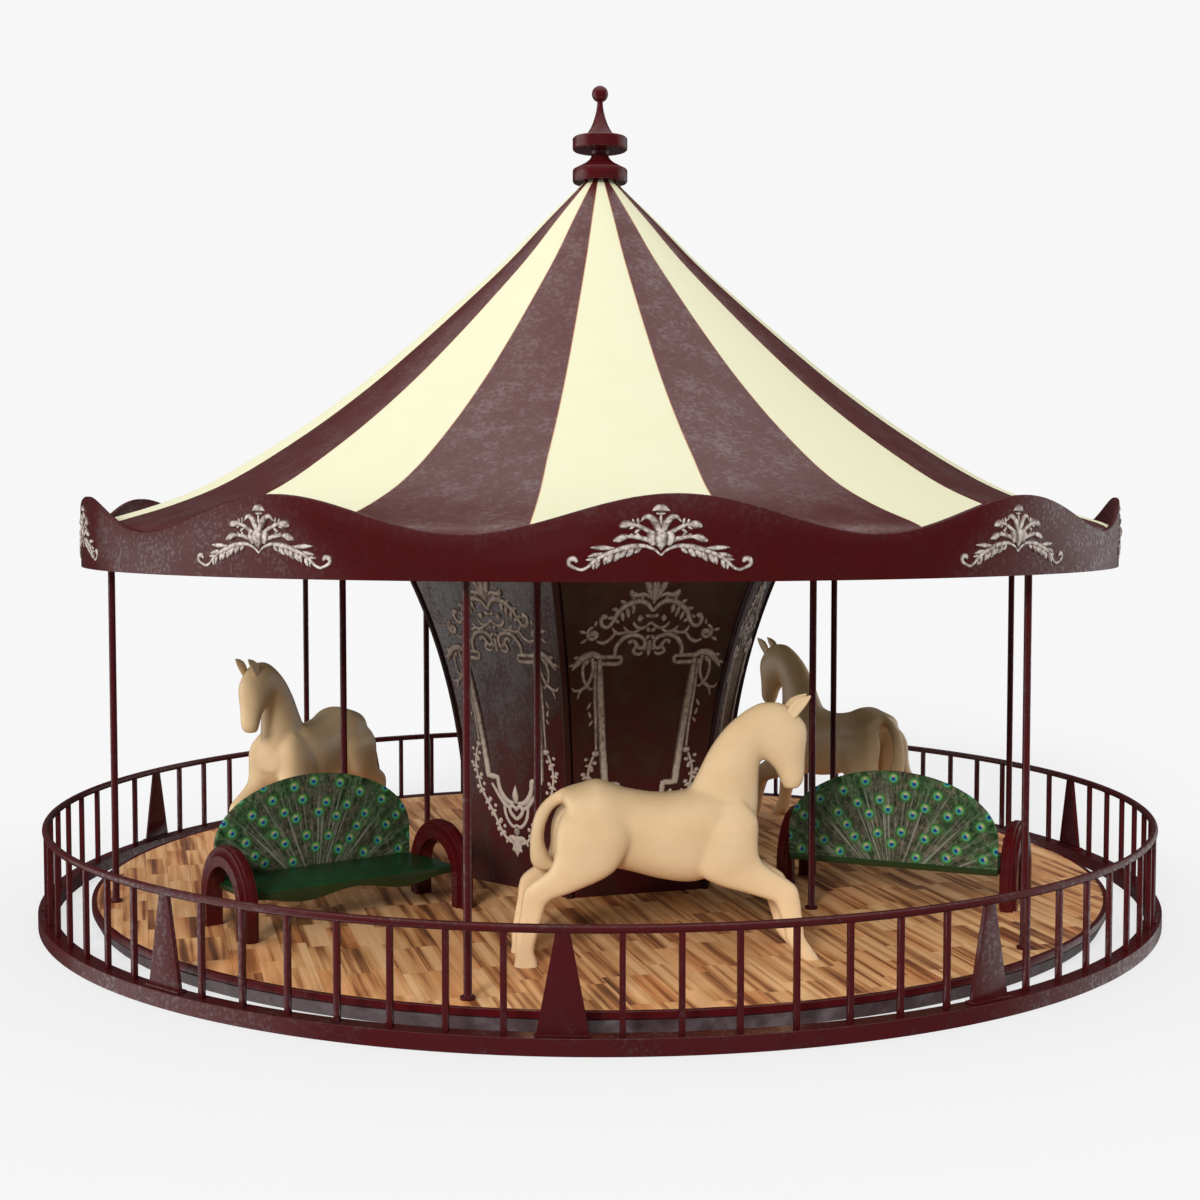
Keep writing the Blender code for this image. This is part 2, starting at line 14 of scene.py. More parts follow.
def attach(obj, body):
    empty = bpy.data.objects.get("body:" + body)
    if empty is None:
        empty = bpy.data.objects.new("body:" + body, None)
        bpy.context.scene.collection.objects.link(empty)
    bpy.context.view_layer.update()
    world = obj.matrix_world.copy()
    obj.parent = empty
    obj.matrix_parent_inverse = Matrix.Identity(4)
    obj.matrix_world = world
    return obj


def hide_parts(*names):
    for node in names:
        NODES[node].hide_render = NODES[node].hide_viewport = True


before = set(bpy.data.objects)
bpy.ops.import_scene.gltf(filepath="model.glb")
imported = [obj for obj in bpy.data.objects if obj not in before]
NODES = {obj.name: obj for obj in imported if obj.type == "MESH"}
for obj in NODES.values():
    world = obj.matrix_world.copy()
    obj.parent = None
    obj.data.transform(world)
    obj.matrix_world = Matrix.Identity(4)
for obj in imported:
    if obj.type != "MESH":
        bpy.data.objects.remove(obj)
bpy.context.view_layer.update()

BASE = "fixed_base"
TABLE = "turntable"

# Sizes that the solids share. An azimuth is in degrees from -Y towards +X
TOUCH = 0.0003
PLATFORM_R = 3.2
PLINTH_FOOT_R = 3.162
PLINTH_TOP = 0.075
RUNNING_GAP = 0.005
DECK_TOP = 0.1175
DECK_RIM_T = 0.03

CURB_OUTER_R = 3.507
CURB_INNER_R = 3.408
CURB_TOP = 0.083
FENCE_R = 3.456
RAIL_Z = 0.574
RAIL_TUBE_R = 0.0215
BAYS = 10
PICKETS_PER_BAY = 7
PICKET_SIDE = 0.0285
POST_FOOT_W = 0.247
POST_HEAD_W = 0.06
POST_T = 0.022
POST_FLANGE_H = 0.012
POST_FLANGE_T = 0.06
FIRST_POST_AZ = -2.8

SIDES = 6
FIRST_CORNER_AZ = -12.0
FIRST_PANEL_AZ = FIRST_CORNER_AZ + 180.0 / SIDES
CORE_FOOT_R = 0.896
CORE_FLARE = 0.466
CORE_FLARE_POWER = 2.48
CORE_TOP = 2.24
RIB_W = 0.042
RIB_DEPTH = 0.06
PANEL_T = 0.012
PANEL_SETBACK = 0.012

POLE_R = 0.0205
POLE_FOOT_R = 0.038
POLE_FOOT_H = 0.016
OUTER_POLE_RING = 3.059
INNER_POLE_RING = 1.68

FASCIA_OUTER_R = 3.2295
FASCIA_T = 0.03
FASCIA_BOTTOM = 2.135
FASCIA_WAVE_MID = 2.451
FASCIA_WAVE = 0.095
FIRST_CREST_AZ = 6.4
CANOPY_T = 0.025
CANOPY_TOP = 4.57
CANOPY_LIP_Z = 2.35

RIDES = 3
FIRST_HORSE_AZ = 6.2
HORSE_RING = 2.19
FIRST_BENCH_AZ = -53.8
BENCH_INNER_R = 1.248
BENCH_OUTER_R = 2.717
ARCH_T = 0.1
ARCH_STEP = 0.014
ARCH_CENTRE_X = 0.148
ARCH_OUTER_R = 0.317
ARCH_BAND_R = 0.262
ARCH_OPENING_R = 0.2
ARCH_SPRING_H = 0.171
SEAT_TOP = 0.248
SEAT_T = 0.04
SEAT_BACK_X = -0.173
SEAT_FRONT_X = 0.352
SEAT_TONGUE_HALF = 0.178
SEAT_TONGUE_REACH = 0.03
APRON_T = 0.03
APRON_DEEP = 0.082
BACK_T = 0.027
BACK_SPRING_H = 0.416
BACK_RISE = 0.374

# Sizes of the finish alone
EASE = 0.003
RIM_EASE = 0.002
PLINTH_EASE = 0.002
ARCH_EASE = 0.0025
ARCH_GROOVE = 0.004
RIB_CHAMFER = 0.006
FASCIA_ROUNDING = 0.006
FINIAL_BALL_R = 0.0525
FINIAL_BALL_UP = 0.564
APRON_GAP = 0.002
APRON_SUNK = 0.01
APRON_PROUD = 0.001
TONGUE_LOWER = 0.004
TONGUE_THINNER = 0.01
SEAT_LIP = 0.005
SEAT_LIP_SOFT = 0.002
BOARD_TURN = 15.4
BOARD_W = 0.137
BOARD_L = 0.5
BOARD_SEAM = 0.0016
BOARD_DEPTH = 0.012
BOARD_EASE = 0.0012
BOARD_EDGE_GAP = 0.001
TRIM_REACH = 0.1
STRIPE_PITCH = 36.0
FIRST_STRIPE_AZ = 2.7
STRIPE_LINE = 0.005
FIRST_ORNAMENT_AZ = 5.0
ORNAMENT_Z = 2.265
ORNAMENT_FLATNESS = 0.65
RELIEF_FLATNESS = 0.45
RELIEF_FULLNESS = 1.5
LEAST_STROKE_R = 0.0008
HORSE_VOXEL = 0.014
HORSE_SANDING = 0.6
TRUNK_BLUNT = 0.86
LEG_BLUNT = 0.72
EAR_OUT = 0.05
EAR_LEAN = (0.72, -0.69)
FAN_DEPTH = 0.20
FAN_FIRST_ROW = 0.295
FAN_ROW = 0.098
FAN_COLUMN = 0.15
FAN_DRIFT = 0.045

# How many steps a curve is made of
DRUM_STEPS = 192
ROOF_STEPS = 240
FASCIA_STEPS = 400
RAIL_STEPS = 320
RAIL_TUBE_STEPS = 16
POLE_STEPS = 20
FINIAL_STEPS = 48
CORE_STEPS = 40
ARCH_STEPS = 40
BACK_STEPS = 72
APRON_STEPS = 96
STAGE_STEPS = 96

# Light, with its angles in degrees
BACKDROP = 0.93
FLOOR_WHITE = 0.2
FLOOR_GLOW = 0.70
FLOOR_R = 400.0
FLOOR_Z = -0.0005
KEY_ENERGY = 2.8
KEY_SOFT = 16.0
KEY_RISE = 23.0
KEY_AZ = -18.0
# Each soft box: where its edge starts, where it is full, and how bright it is outside and inside
LEFT_BOX = (0.76, 0.95, 0.0, 2.0)
LEFT_BOX_FOOT = 0.38
LEFT_BOX_SLANT = 0.8
RIGHT_BOX = (0.74, 0.96, 0.0, 1.25)
RIGHT_BOX_WAY = (0.9, 0.43)
TOP_BOX = (0.50, 0.85, 0.0, 1.5)
DIM = 0.08
FILL = 0.15

# The photograph's camera. It looks down by an angle in radians
CAMERA_PLACE = (0.0, -11.056, 2.462)
CAMERA_DOWN = 0.0522
LENS_MM = 50.97
SENSOR_MM = 36.0
CLIP_END = 1000.0


# Node trees


class Tree:
    """A node tree to build. What feeds an input is a plain value or another node's output."""

    def __init__(self, tree):
        self.tree = tree

    def feed(self, socket, value):
        if isinstance(value, bpy.types.NodeSocket):
            self.tree.links.new(value, socket)
        elif value is not None:
            socket.default_value = value

    def node(self, kind, fed=None, **settings):
        """Adds a node. fed maps an input's name or index to what feeds it."""
        node = self.tree.nodes.new(kind)
        for name, value in settings.items():
            setattr(node, name, value)
        for key, value in (fed or {}).items():
            self.feed(node.inputs[key], value)
        return node

    def add(self, kind, fed=None, **settings):
        """Adds a node and gives back its first output."""
        return self.node(kind, fed, **settings).outputs[0]

    def xyz(self, x=0.0, y=0.0, z=0.0):
        return self.add("ShaderNodeCombineXYZ", {"X": x, "Y": y, "Z": z})

    def math(self, operation, *values):
        return self.add("ShaderNodeMath", dict(enumerate(values)), operation=operation)

    def plus(self, first, second):
        return self.math("ADD", first, second)

    def minus(self, first, second):
        return self.math("SUBTRACT", first, second)

    def times(self, first, second):
        return self.math("MULTIPLY", first, second)

    def over(self, first, second):
        return self.math("DIVIDE", first, second)


class Nodes(Tree):
    """A shader tree. Each method gives back the output that holds its result."""

    def place(self):
        return self.node("ShaderNodeTexCoord").outputs["Object"]

    def uv(self, name):
        return self.add("ShaderNodeUVMap", uv_map=name)

    def attribute(self, name):
        return self.node("ShaderNodeAttribute", attribute_name=name).outputs["Fac"]

    def scaled(self, value, share, start):
        return self.math("MULTIPLY_ADD", value, share, start)

    def centred(self, value, spread):
        """A value from 0 to 1, spread evenly about zero."""
        return self.scaled(value, spread, -spread / 2)

    def length(self, across, along):
        return self.math("SQRT", self.plus(self.math("POWER", across, 2.0), self.math("POWER", along, 2.0)))

    def stretch(self, vector, scale):
        return self.add("ShaderNodeMapping", {"Vector": vector, "Scale": scale})

    def turn(self, vector, degrees):
        angles = (0.0, 0.0, math.radians(degrees))
        return self.add("ShaderNodeMapping", {"Vector": vector, "Rotation": angles})

    def split(self, vector):
        return self.node("ShaderNodeSeparateXYZ", {0: vector}).outputs

    def noise(self, vector, scale, detail, roughness, distortion=0.0, seed=None):
        fed = {"Vector": vector, "Scale": scale, "Detail": detail, "Roughness": roughness}
        fed["Distortion"] = distortion
        if seed is None:
            return self.add("ShaderNodeTexNoise", fed)
        return self.add("ShaderNodeTexNoise", {**fed, "W": seed}, noise_dimensions="4D")

    def random(self, value):
        return self.add("ShaderNodeTexWhiteNoise", {"W": value}, noise_dimensions="1D")

    def span(self, value, low, high, to_low=0.0, to_high=1.0):
        fed = {"Value": value, "From Min": low, "From Max": high, "To Min": to_low, "To Max": to_high}
        return self.add("ShaderNodeMapRange", fed)

    def ramp(self, value, *stops):
        node = self.node("ShaderNodeValToRGB", {"Fac": value})
        points = node.color_ramp.elements
        while len(points) < len(stops):
            points.new(0.5)
        for point, (position, colour) in zip(points, stops):
            point.position = position
            point.color = (*colour, 1.0)
        return node.outputs["Color"]

    def blend(self, share, under, over, mode="MIX"):
        under, over = ((*value, 1.0) if isinstance(value, tuple) else value for value in (under, over))
        fed = {"Factor": share, "A": under, "B": over}
        return self.node("ShaderNodeMix", fed, data_type="RGBA", blend_type=mode).outputs["Result"]


# Materials


class Shader(Nodes):
    """One material of the carousel."""

    def __init__(self, name, roughness=0.5, metallic=0.0, coat=0.0):
        self.material = bpy.data.materials.new(name)
        self.material.use_nodes = True
        super().__init__(self.material.node_tree)
        self.surface = self.tree.nodes["Principled BSDF"]
        levels = {"Roughness": roughness, "Metallic": metallic, "Coat Weight": coat, "Coat Roughness": 0.22}
        for name, level in levels.items():
            self.surface.inputs[name].default_value = level

    def shine(self, level, coat=None):
        """Sets the gloss level, which is the same all over, and feeds the clear coat, which may vary."""
        self.surface.inputs["Specular IOR Level"].default_value = level
        self.feed(self.surface.inputs["Coat Weight"], coat)

    def finish(self, colour, roughness=None, height=None, depth=0.001):
        self.feed(self.surface.inputs["Base Color"], colour)
        self.feed(self.surface.inputs["Roughness"], roughness)
        if height is not None:
            bump = self.add("ShaderNodeBump", {"Distance": depth, "Height": height})
            self.feed(self.surface.inputs["Normal"], bump)
        return self.material


def worn_paint(name, fresh, faded, scuff, wear=0.5, coat=0.9, least=0.66):
    """Brushed gloss paint, dulled in patches, whose sheen breaks up into fine flecks."""
    shader = Shader(name)
    place = shader.place()
    patches = shader.noise(place, 5.0, 6.0, 0.62)
    flecks = shader.noise(place, 46.0, 2.5, 0.55)
    body = shader.ramp(patches, (0.3, fresh), (0.72, faded))
    rubbed = shader.times(shader.span(patches, 0.5, 0.75), shader.span(flecks, 0.5, 0.7))
    colour = shader.blend(shader.times(rubbed, wear), body, scuff)
    sheen = shader.plus(flecks, shader.centred(patches, 0.5))
    shader.shine(0.0, shader.span(sheen, 0.52, 0.64, least * coat, coat))
    return shader.finish(colour, None, flecks, 0.00015)


def housing_paint():
    """Dark maroon paint on canvas, with a painted reflection of the wooden deck that makes it browner towards
    the top, and a gloss that shows the weave.
    """
    shader = Shader("housing_paint")
    place = shader.place()
    patches = shader.noise(place, 6.0, 6.0, 0.62)
    weave = shader.noise(shader.stretch(place, (1.0, 1.0, 0.7)), 58.0, 4.0, 0.7)
    _, _, up = shader.split(place)
    # Random patches, and a painted reflection of the wooden deck that makes the paint browner higher up
    worn = shader.plus(patches, shader.span(up, 0.5, 2.1, -0.13, 0.13))
    maroon, umber, brown = (0.046, 0.0055, 0.0065), (0.034, 0.0105, 0.008), (0.034, 0.0185, 0.012)
    colour = shader.ramp(worn, (0.30, maroon), (0.52, umber), (0.70, brown))
    sheen = shader.plus(weave, shader.centred(worn, 0.5))
    shader.shine(0.0, shader.span(sheen, 0.40, 0.60, 0.45, 1.0))
    return shader.finish(colour, None, weave, 0.0018)


def plinth_paint():
    """Dark paint with pale scuffed streaks round the drum."""
    shader = Shader("plinth_paint")
    streaks = shader.noise(shader.stretch(shader.place(), (3.0, 3.0, 2.0)), 2.0, 7.0, 0.68)
    dark, worn, bare = (0.034, 0.014, 0.015), (0.066, 0.040, 0.042), (0.13, 0.105, 0.108)
    colour = shader.ramp(streaks, (0.32, dark), (0.52, worn), (0.72, bare))
    shader.shine(0.3)
    return shader.finish(colour, shader.span(streaks, 0.3, 0.8, 0.35, 0.75), streaks, 0.001)


def stripe_paint():
    """Ten cream and ten maroon stripes down the roof, with a thin orange line along each edge."""
    shader = Shader("roof_stripe_paint", 0.45)
    place = shader.place()
    x, y, _ = shader.split(place)
    azimuth = shader.math("ARCTAN2", x, shader.times(y, -1.0))
    turns = shader.over(shader.minus(azimuth, math.radians(FIRST_STRIPE_AZ)), math.radians(STRIPE_PITCH))
    share = shader.minus(turns, shader.math("ROUND", turns))
    off_middle = shader.times(shader.math("ABSOLUTE", share), math.radians(STRIPE_PITCH))
    radius = shader.length(x, y)
    # A cream stripe is a little narrower at the lip than further up
    cream_half = shader.span(radius, 2.3, 3.1, math.radians(9.5), math.radians(8.75))
    past_edge = shader.times(shader.minus(off_middle, cream_half), radius)
    is_maroon = shader.span(past_edge, -0.001, 0.001)
    is_line = shader.span(shader.math("ABSOLUTE", past_edge), STRIPE_LINE * 0.5, STRIPE_LINE * 0.8, 1.0, 0.0)
    patches = shader.noise(place, 5.0, 7.0, 0.65)
    scuffs = shader.noise(place, 34.0, 6.0, 0.72)
    rubbed = shader.times(shader.span(patches, 0.42, 0.66), shader.span(scuffs, 0.42, 0.66))
    maroon = shader.ramp(patches, (0.3, (0.058, 0.011, 0.010)), (0.7, (0.068, 0.016, 0.015)))
    maroon = shader.blend(shader.times(rubbed, 0.3), maroon, (0.11, 0.06, 0.065))
    yellowed = shader.span(patches, 0.4, 0.8, 0.0, 0.35)
    cream = shader.blend(yellowed, (0.565, 0.555, 0.395), (0.54, 0.515, 0.345))
    colour = shader.blend(is_maroon, cream, maroon)
    colour = shader.blend(shader.times(is_line, 0.55), colour, (0.42, 0.16, 0.06))
    sheen = shader.plus(scuffs, shader.centred(patches, 0.6))
    shader.shine(0.0, shader.times(shader.span(sheen, 0.50, 0.62, 0.6, 1.0), is_maroon))
    return shader.finish(colour, None, scuffs, 0.0001)


def horse_paint():
    """Cream paint, cloudy and finely speckled, with painted bounce light from the floor that makes it lighter
    and warmer low down.
    """
    shader = Shader("horse_cream_paint", coat=0.15)
    place = shader.place()
    cloud = shader.noise(place, 4.0, 4.0, 0.5)
    speckle = shader.noise(place, 160.0, 3.0, 0.6)
    colour = shader.blend(shader.span(cloud, 0.35, 0.7), (0.62, 0.45, 0.26), (0.57, 0.395, 0.215))
    colour = shader.blend(shader.span(speckle, 0.45, 0.65, 0.0, 0.15), colour, (0.42, 0.28, 0.15))
    # Painted floor light: the legs and belly are painted lighter and warmer towards the floor
    low = shader.span(shader.split(place)[2], DECK_TOP + 0.15, DECK_TOP + 0.60, 0.55, 0.0)
    colour = shader.blend(low, colour, (0.86, 0.60, 0.35))
    shader.shine(0.3)
    return shader.finish(colour, shader.span(cloud, 0.3, 0.7, 0.36, 0.5), speckle, 0.0004)


def seat_paint():
    """Bottle green on the seat, and brown-green on the apron below its lip."""
    shader = Shader("seat_green_paint", coat=0.35)
    place = shader.place()
    cloud = shader.noise(place, 7.0, 5.0, 0.6)
    fine = shader.noise(place, 60.0, 4.0, 0.6)
    colour = shader.ramp(cloud, (0.3, (0.006, 0.034, 0.011)), (0.7, (0.009, 0.052, 0.015)))
    lip, soft = DECK_TOP + SEAT_TOP - SEAT_LIP, SEAT_LIP_SOFT
    below_lip = shader.span(shader.split(place)[2], lip - soft, lip + soft, 0.8, 0.0)
    colour = shader.blend(below_lip, colour, (0.020, 0.024, 0.007))
    shader.shine(0.1)
    return shader.finish(colour, shader.span(fine, 0.3, 0.7, 0.3, 0.5), fine, 0.0002)


def floor_wood():
    """Oiled short boards: every board has its own tone and its own dark streaks along the grain."""
    shader = Shader("floor_wood")
    tone = shader.attribute("tone")
    along = shader.turn(shader.place(), -BOARD_TURN)
    seed = shader.times(tone, 60.0)
    streaks = shader.noise(shader.stretch(along, (14.0, 0.40, 1.0)), 1.0, 2.0, 0.55, 0.2, seed)
    threads = shader.noise(shader.stretch(along, (70.0, 1.6, 1.0)), 1.0, 3.0, 0.6, 0.0, seed)
    figure = shader.noise(shader.stretch(along, (8.0, 3.0, 1.0)), 1.0, 3.0, 0.5, 0.0, seed)
    depth = streaks
    for grain, spread in ((threads, 0.22), (figure, 0.12), (shader.random(tone), 0.05)):
        depth = shader.plus(depth, shader.centred(grain, spread))
    dark, brown = (0.12, 0.046, 0.022), (0.32, 0.125, 0.048)
    tan, pale = (0.575, 0.282, 0.112), (0.76, 0.455, 0.225)
    colour = shader.ramp(depth, (0.31, dark), (0.40, brown), (0.475, tan), (0.60, pale))
    reddened = shader.span(shader.random(seed), 0.40, 1.0, 0.0, 0.7)
    colour = shader.blend(reddened, colour, (0.92, 0.68, 0.54), "MULTIPLY")
    colour = shader.blend(shader.span(threads, 0.55, 0.75, 0.0, 0.2), colour, (0.20, 0.09, 0.04))
    shader.shine(0.25)
    return shader.finish(colour, shader.span(streaks, 0.3, 0.7, 0.6, 0.45), threads, 0.0004)


def relief_paint(name, blotches, hollow, middle, crown, painted_light_below=None):
    """Dull blotched silver-bone paint on carved ornament, with painted shade at the edges of each stroke, a
    painted highlight along its crown, and painted light lower down where painted_light_below is given.
    """
    shader = Shader(name, 0.5, 0.1)
    place = shader.place()
    cloud = shader.noise(place, 38.0, 5.0, 0.65)
    fine = shader.noise(place, 240.0, 3.0, 0.6)
    # Random blotches of tone, plus painted shade and highlight set by how far round each stroke's front a
    # point lies
    lift = shader.scaled(cloud, blotches, 0.5 - 0.5 * blotches)
    lift = shader.scaled(shader.attribute("lift"), 0.47, lift)
    # Painted light: the paint is lighter towards the bottom, which the roof shades less
    if painted_light_below:
        lift = shader.plus(lift, shader.span(shader.split(place)[2], *painted_light_below, 0.28, 0.0))
    # The first colour is painted shade and the last a painted highlight
    colour = shader.ramp(lift, (0.55, hollow), (0.82, middle), (1.0, crown))
    shader.shine(0.3)
    return shader.finish(colour, shader.span(cloud, 0.3, 0.7, 0.6, 0.4), fine, 0.0004)


def feather_paint():
    """A fan of tail feathers: soft pale quills from one point, mottled green barbs, and scattered eyes."""
    shader = Shader("feather_fan_paint")
    across, up, _ = shader.split(shader.uv("fan"))
    flat = shader.xyz(across, up)
    above = shader.plus(up, FAN_DEPTH)
    reach = shader.length(across, above)
    lean = shader.math("ARCTAN2", across, above)
    polar = shader.xyz(lean, reach)
    barbs = shader.noise(flat, 26.0, 5.0, 0.70, 0.8)
    strands = shader.noise(shader.stretch(polar, (42.0, 11.0, 1.0)), 1.0, 4.0, 0.65, 0.8)
    cloud = shader.noise(flat, 7.0, 4.0, 0.6)
    quills = shader.noise(shader.stretch(polar, (24.0, 0.8, 1.0)), 1.0, 2.0, 0.6)
    mottle = shader.times(shader.plus(barbs, strands), 0.5)
    brown_shades = (0.010, 0.013, 0.007), (0.046, 0.050, 0.028), (0.135, 0.105, 0.080)
    green_shades = (0.004, 0.018, 0.006), (0.022, 0.060, 0.020), (0.080, 0.140, 0.058)
    brown, green = (
        shader.ramp(mottle, *zip((0.40, 0.5, 0.60), shades)) for shades in (brown_shades, green_shades)
    )
    outward = shader.plus(cloud, shader.span(reach, 0.40, 0.92, -0.14, 0.12))
    outward = shader.plus(outward, shader.span(shader.math("ABSOLUTE", lean), 0.0, 0.5, -0.07, 0.04))
    colour = shader.blend(shader.span(outward, 0.40, 0.62), brown, green)
    shown = shader.times(shader.span(quills, 0.53, 0.64), shader.span(reach, 0.75, 0.47))
    colour = shader.blend(shader.times(shown, 0.8), colour, (0.21, 0.22, 0.17))

    # The eyes stand in rows round the fan's point, every other row moved by half a column
    row = shader.over(shader.minus(reach, FAN_FIRST_ROW), FAN_ROW)
    row_index = shader.math("ROUND", row)
    arc = shader.times(lean, shader.scaled(row_index, FAN_ROW, FAN_FIRST_ROW))
    stagger = shader.times(shader.math("MODULO", row_index, 2.0), 0.5)
    column = shader.plus(shader.over(arc, FAN_COLUMN), stagger)
    column_index = shader.math("ROUND", column)
    # Any factors do that give each eye a random key of its own
    key = shader.scaled(row_index, 17.3, shader.times(column_index, 5.7))
    drift_in = shader.centred(shader.random(key), FAN_DRIFT)
    drift_up = shader.centred(shader.random(shader.plus(key, 3.1)), FAN_DRIFT)
    off_in = shader.minus(shader.times(shader.minus(column, column_index), FAN_COLUMN), drift_in)
    off_up = shader.minus(shader.times(shader.minus(row, row_index), FAN_ROW), drift_up)
    is_eye = shader.math("GREATER_THAN", row_index, -0.5)
    # Each spot of an eye: how far up the feather its middle lies, its radius, its soft edge and its colour
    for shift, radius, soft, tint in (
        (0.0, 0.036, 0.011, (0.025, 0.095, 0.027)),
        (0.002, 0.025, 0.006, (0.115, 0.28, 0.07)),
        (-0.003, 0.0185, 0.004, (0.020, 0.20, 0.18)),
        (0.011, 0.0095, 0.004, (0.34, 0.27, 0.16)),
        (-0.003, 0.0095, 0.0025, (0.006, 0.014, 0.15)),
    ):
        away = shader.length(off_in, shader.plus(off_up, -shift))
        inside = shader.times(shader.span(away, radius + soft, radius - soft), is_eye)
        colour = shader.blend(inside, colour, tint)
    shader.shine(0.25)
    return shader.finish(colour, shader.span(barbs, 0.3, 0.7, 0.7, 0.55), barbs, 0.0003)


MAROON = worn_paint(
    "maroon_paint", (0.052, 0.0048, 0.0058), (0.040, 0.0065, 0.0075), (0.10, 0.065, 0.065), 0.35, 0.95, 0.5
)
FASCIA_PAINT = worn_paint(
    "fascia_paint", (0.046, 0.0030, 0.0032), (0.040, 0.0040, 0.0043), (0.07, 0.03, 0.03), 0.15, 0.84, 0.5
)
RED_PAINT = worn_paint(
    "bench_frame_paint", (0.062, 0.0030, 0.0040), (0.048, 0.005, 0.006), (0.10, 0.06, 0.06), 0.3
)
RIB_PAINT = worn_paint(
    "rib_paint", (0.026, 0.005, 0.005), (0.018, 0.006, 0.006), (0.05, 0.03, 0.03), 0.2, 0.6, 0.8
)
BED_PAINT = worn_paint("floor_bed_paint", (0.05, 0.03, 0.02), (0.03, 0.02, 0.015), (0.08, 0.06, 0.05))
CORE_PAINT = housing_paint()
PLINTH_PAINT = plinth_paint()
STRIPES = stripe_paint()
HORSE_PAINT = horse_paint()
SEAT_PAINT = seat_paint()
FLOOR_WOOD = floor_wood()
# A relief paint's colours: painted shade, its own colour, and painted highlight
BONE = (0.055, 0.017, 0.017), (0.150, 0.108, 0.098), (0.54, 0.485, 0.435)
SILVER = relief_paint("silver_bone_paint", 0.7, *BONE)
WARM_BONE = (0.040, 0.021, 0.014), (0.125, 0.087, 0.063), (0.44, 0.355, 0.29)
RELIEF_PAINT = relief_paint("housing_relief_paint", 0.45, *WARM_BONE, painted_light_below=(0.45, 1.1))
FEATHERS = feather_paint()


# Piece building


def helper(name, data):
    """Links an object that holds the data."""
    piece = bpy.data.objects.new(name, data)
    bpy.context.scene.collection.objects.link(piece)
    return piece


def from_bmesh(shape, name="piece"):
    mesh = bpy.data.meshes.new(name)
    shape.to_mesh(mesh)
    shape.free()
    return helper(name, mesh)


def plain(piece, weld=0.00001):
    """Replaces an object with the mesh it evaluates to, with its place in the mesh."""
    bpy.context.view_layer.update()
    graph = bpy.context.evaluated_depsgraph_get()
    mesh = bpy.data.meshes.new_from_object(piece.evaluated_get(graph))
    mesh.transform(piece.matrix_world)
    name = piece.name
    bpy.data.objects.remove(piece, do_unlink=True)
    if weld:
        shape = bmesh.new()
        shape.from_mesh(mesh)
        bmesh.ops.remove_doubles(shape, verts=shape.verts, dist=weld)
        bmesh.ops.recalc_face_normals(shape, faces=shape.faces)
        shape.to_mesh(mesh)
        shape.free()
    return helper(name, mesh)


def smooth(piece, degrees=40.0):
    piece.data.shade_smooth()
    piece.data.set_sharp_from_angle(angle=math.radians(degrees))
    return piece


def deliver(piece, name, body, material, slot_name, *stands_for):
    """Names a finished piece, paints it, ties it to its body and hides the solids it stands for."""
    piece.name = name
    piece.data.name = name
    piece.data.materials.clear()
    piece.data.materials.append(material)
    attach(piece, body)
    if stands_for:
        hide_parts(*stands_for)


def numbered(name, count):
    digits = 2 if count >= BAYS else 1
    return [f"{name}_{index + 1:0{digits}d}" for index in range(count)]


def bevelled(piece, width, segments=2):
    edge = piece.modifiers.new("Rounded edges", "BEVEL")
    edge.width = width
    edge.segments = segments
    edge.limit_method = "ANGLE"
    edge.angle_limit = math.radians(35.0)
    return piece


def turned(profile, steps=DRUM_STEPS, closed=False):
    """Turns (radius, height) points about the axis."""
    mesh = bpy.data.meshes.new("profile")
    ends = [(i, i + 1) for i in range(len(profile) - 1)]
    if closed:
        ends.append((len(profile) - 1, 0))
    mesh.from_pydata([(radius, 0.0, height) for radius, height in profile], ends, [])
    piece = helper("turned", mesh)
    screw = piece.modifiers.new("Turn", "SCREW")
    screw.axis = "Z"
    screw.angle = math.tau
    screw.steps = steps
    screw.render_steps = steps
    screw.use_merge_vertices = True
    screw.merge_threshold = 0.0001
    return smooth(plain(piece))


def softened(profile, radius=RIM_EASE):
    """Cuts each corner of a closed profile back a little, as brushed paint and sanding do."""
    points = []
    for i, corner in enumerate(profile):
        corner = Vector(corner)
        before, after = Vector(profile[i - 1]), Vector(profile[(i + 1) % len(profile)])
        for other in (before, after):
            way = other - corner
            reach = min(radius, way.length / 3)
            points.append(tuple(corner + way.normalized() * reach))
    return points


def curve_through(points, steps):
    """A smooth Catmull-Rom path through points that may carry a radius as their last value."""
    path = []
    padded = [points[0], *points, points[-1]]
    for a, b, c, d in zip(padded, padded[1:], padded[2:], padded[3:]):
        for i in range(steps):
            t = i / steps
            point = []
            for p, q, r, s in zip(a, b, c, d):
                square, cube = 2 * p - 5 * q + 4 * r - s, 3 * q - p - 3 * r + s
                point.append(0.5 * (2 * q + (r - p) * t + square * t**2 + cube * t**3))
            path.append(tuple(point))
    path.append(tuple(points[-1]))
    return path


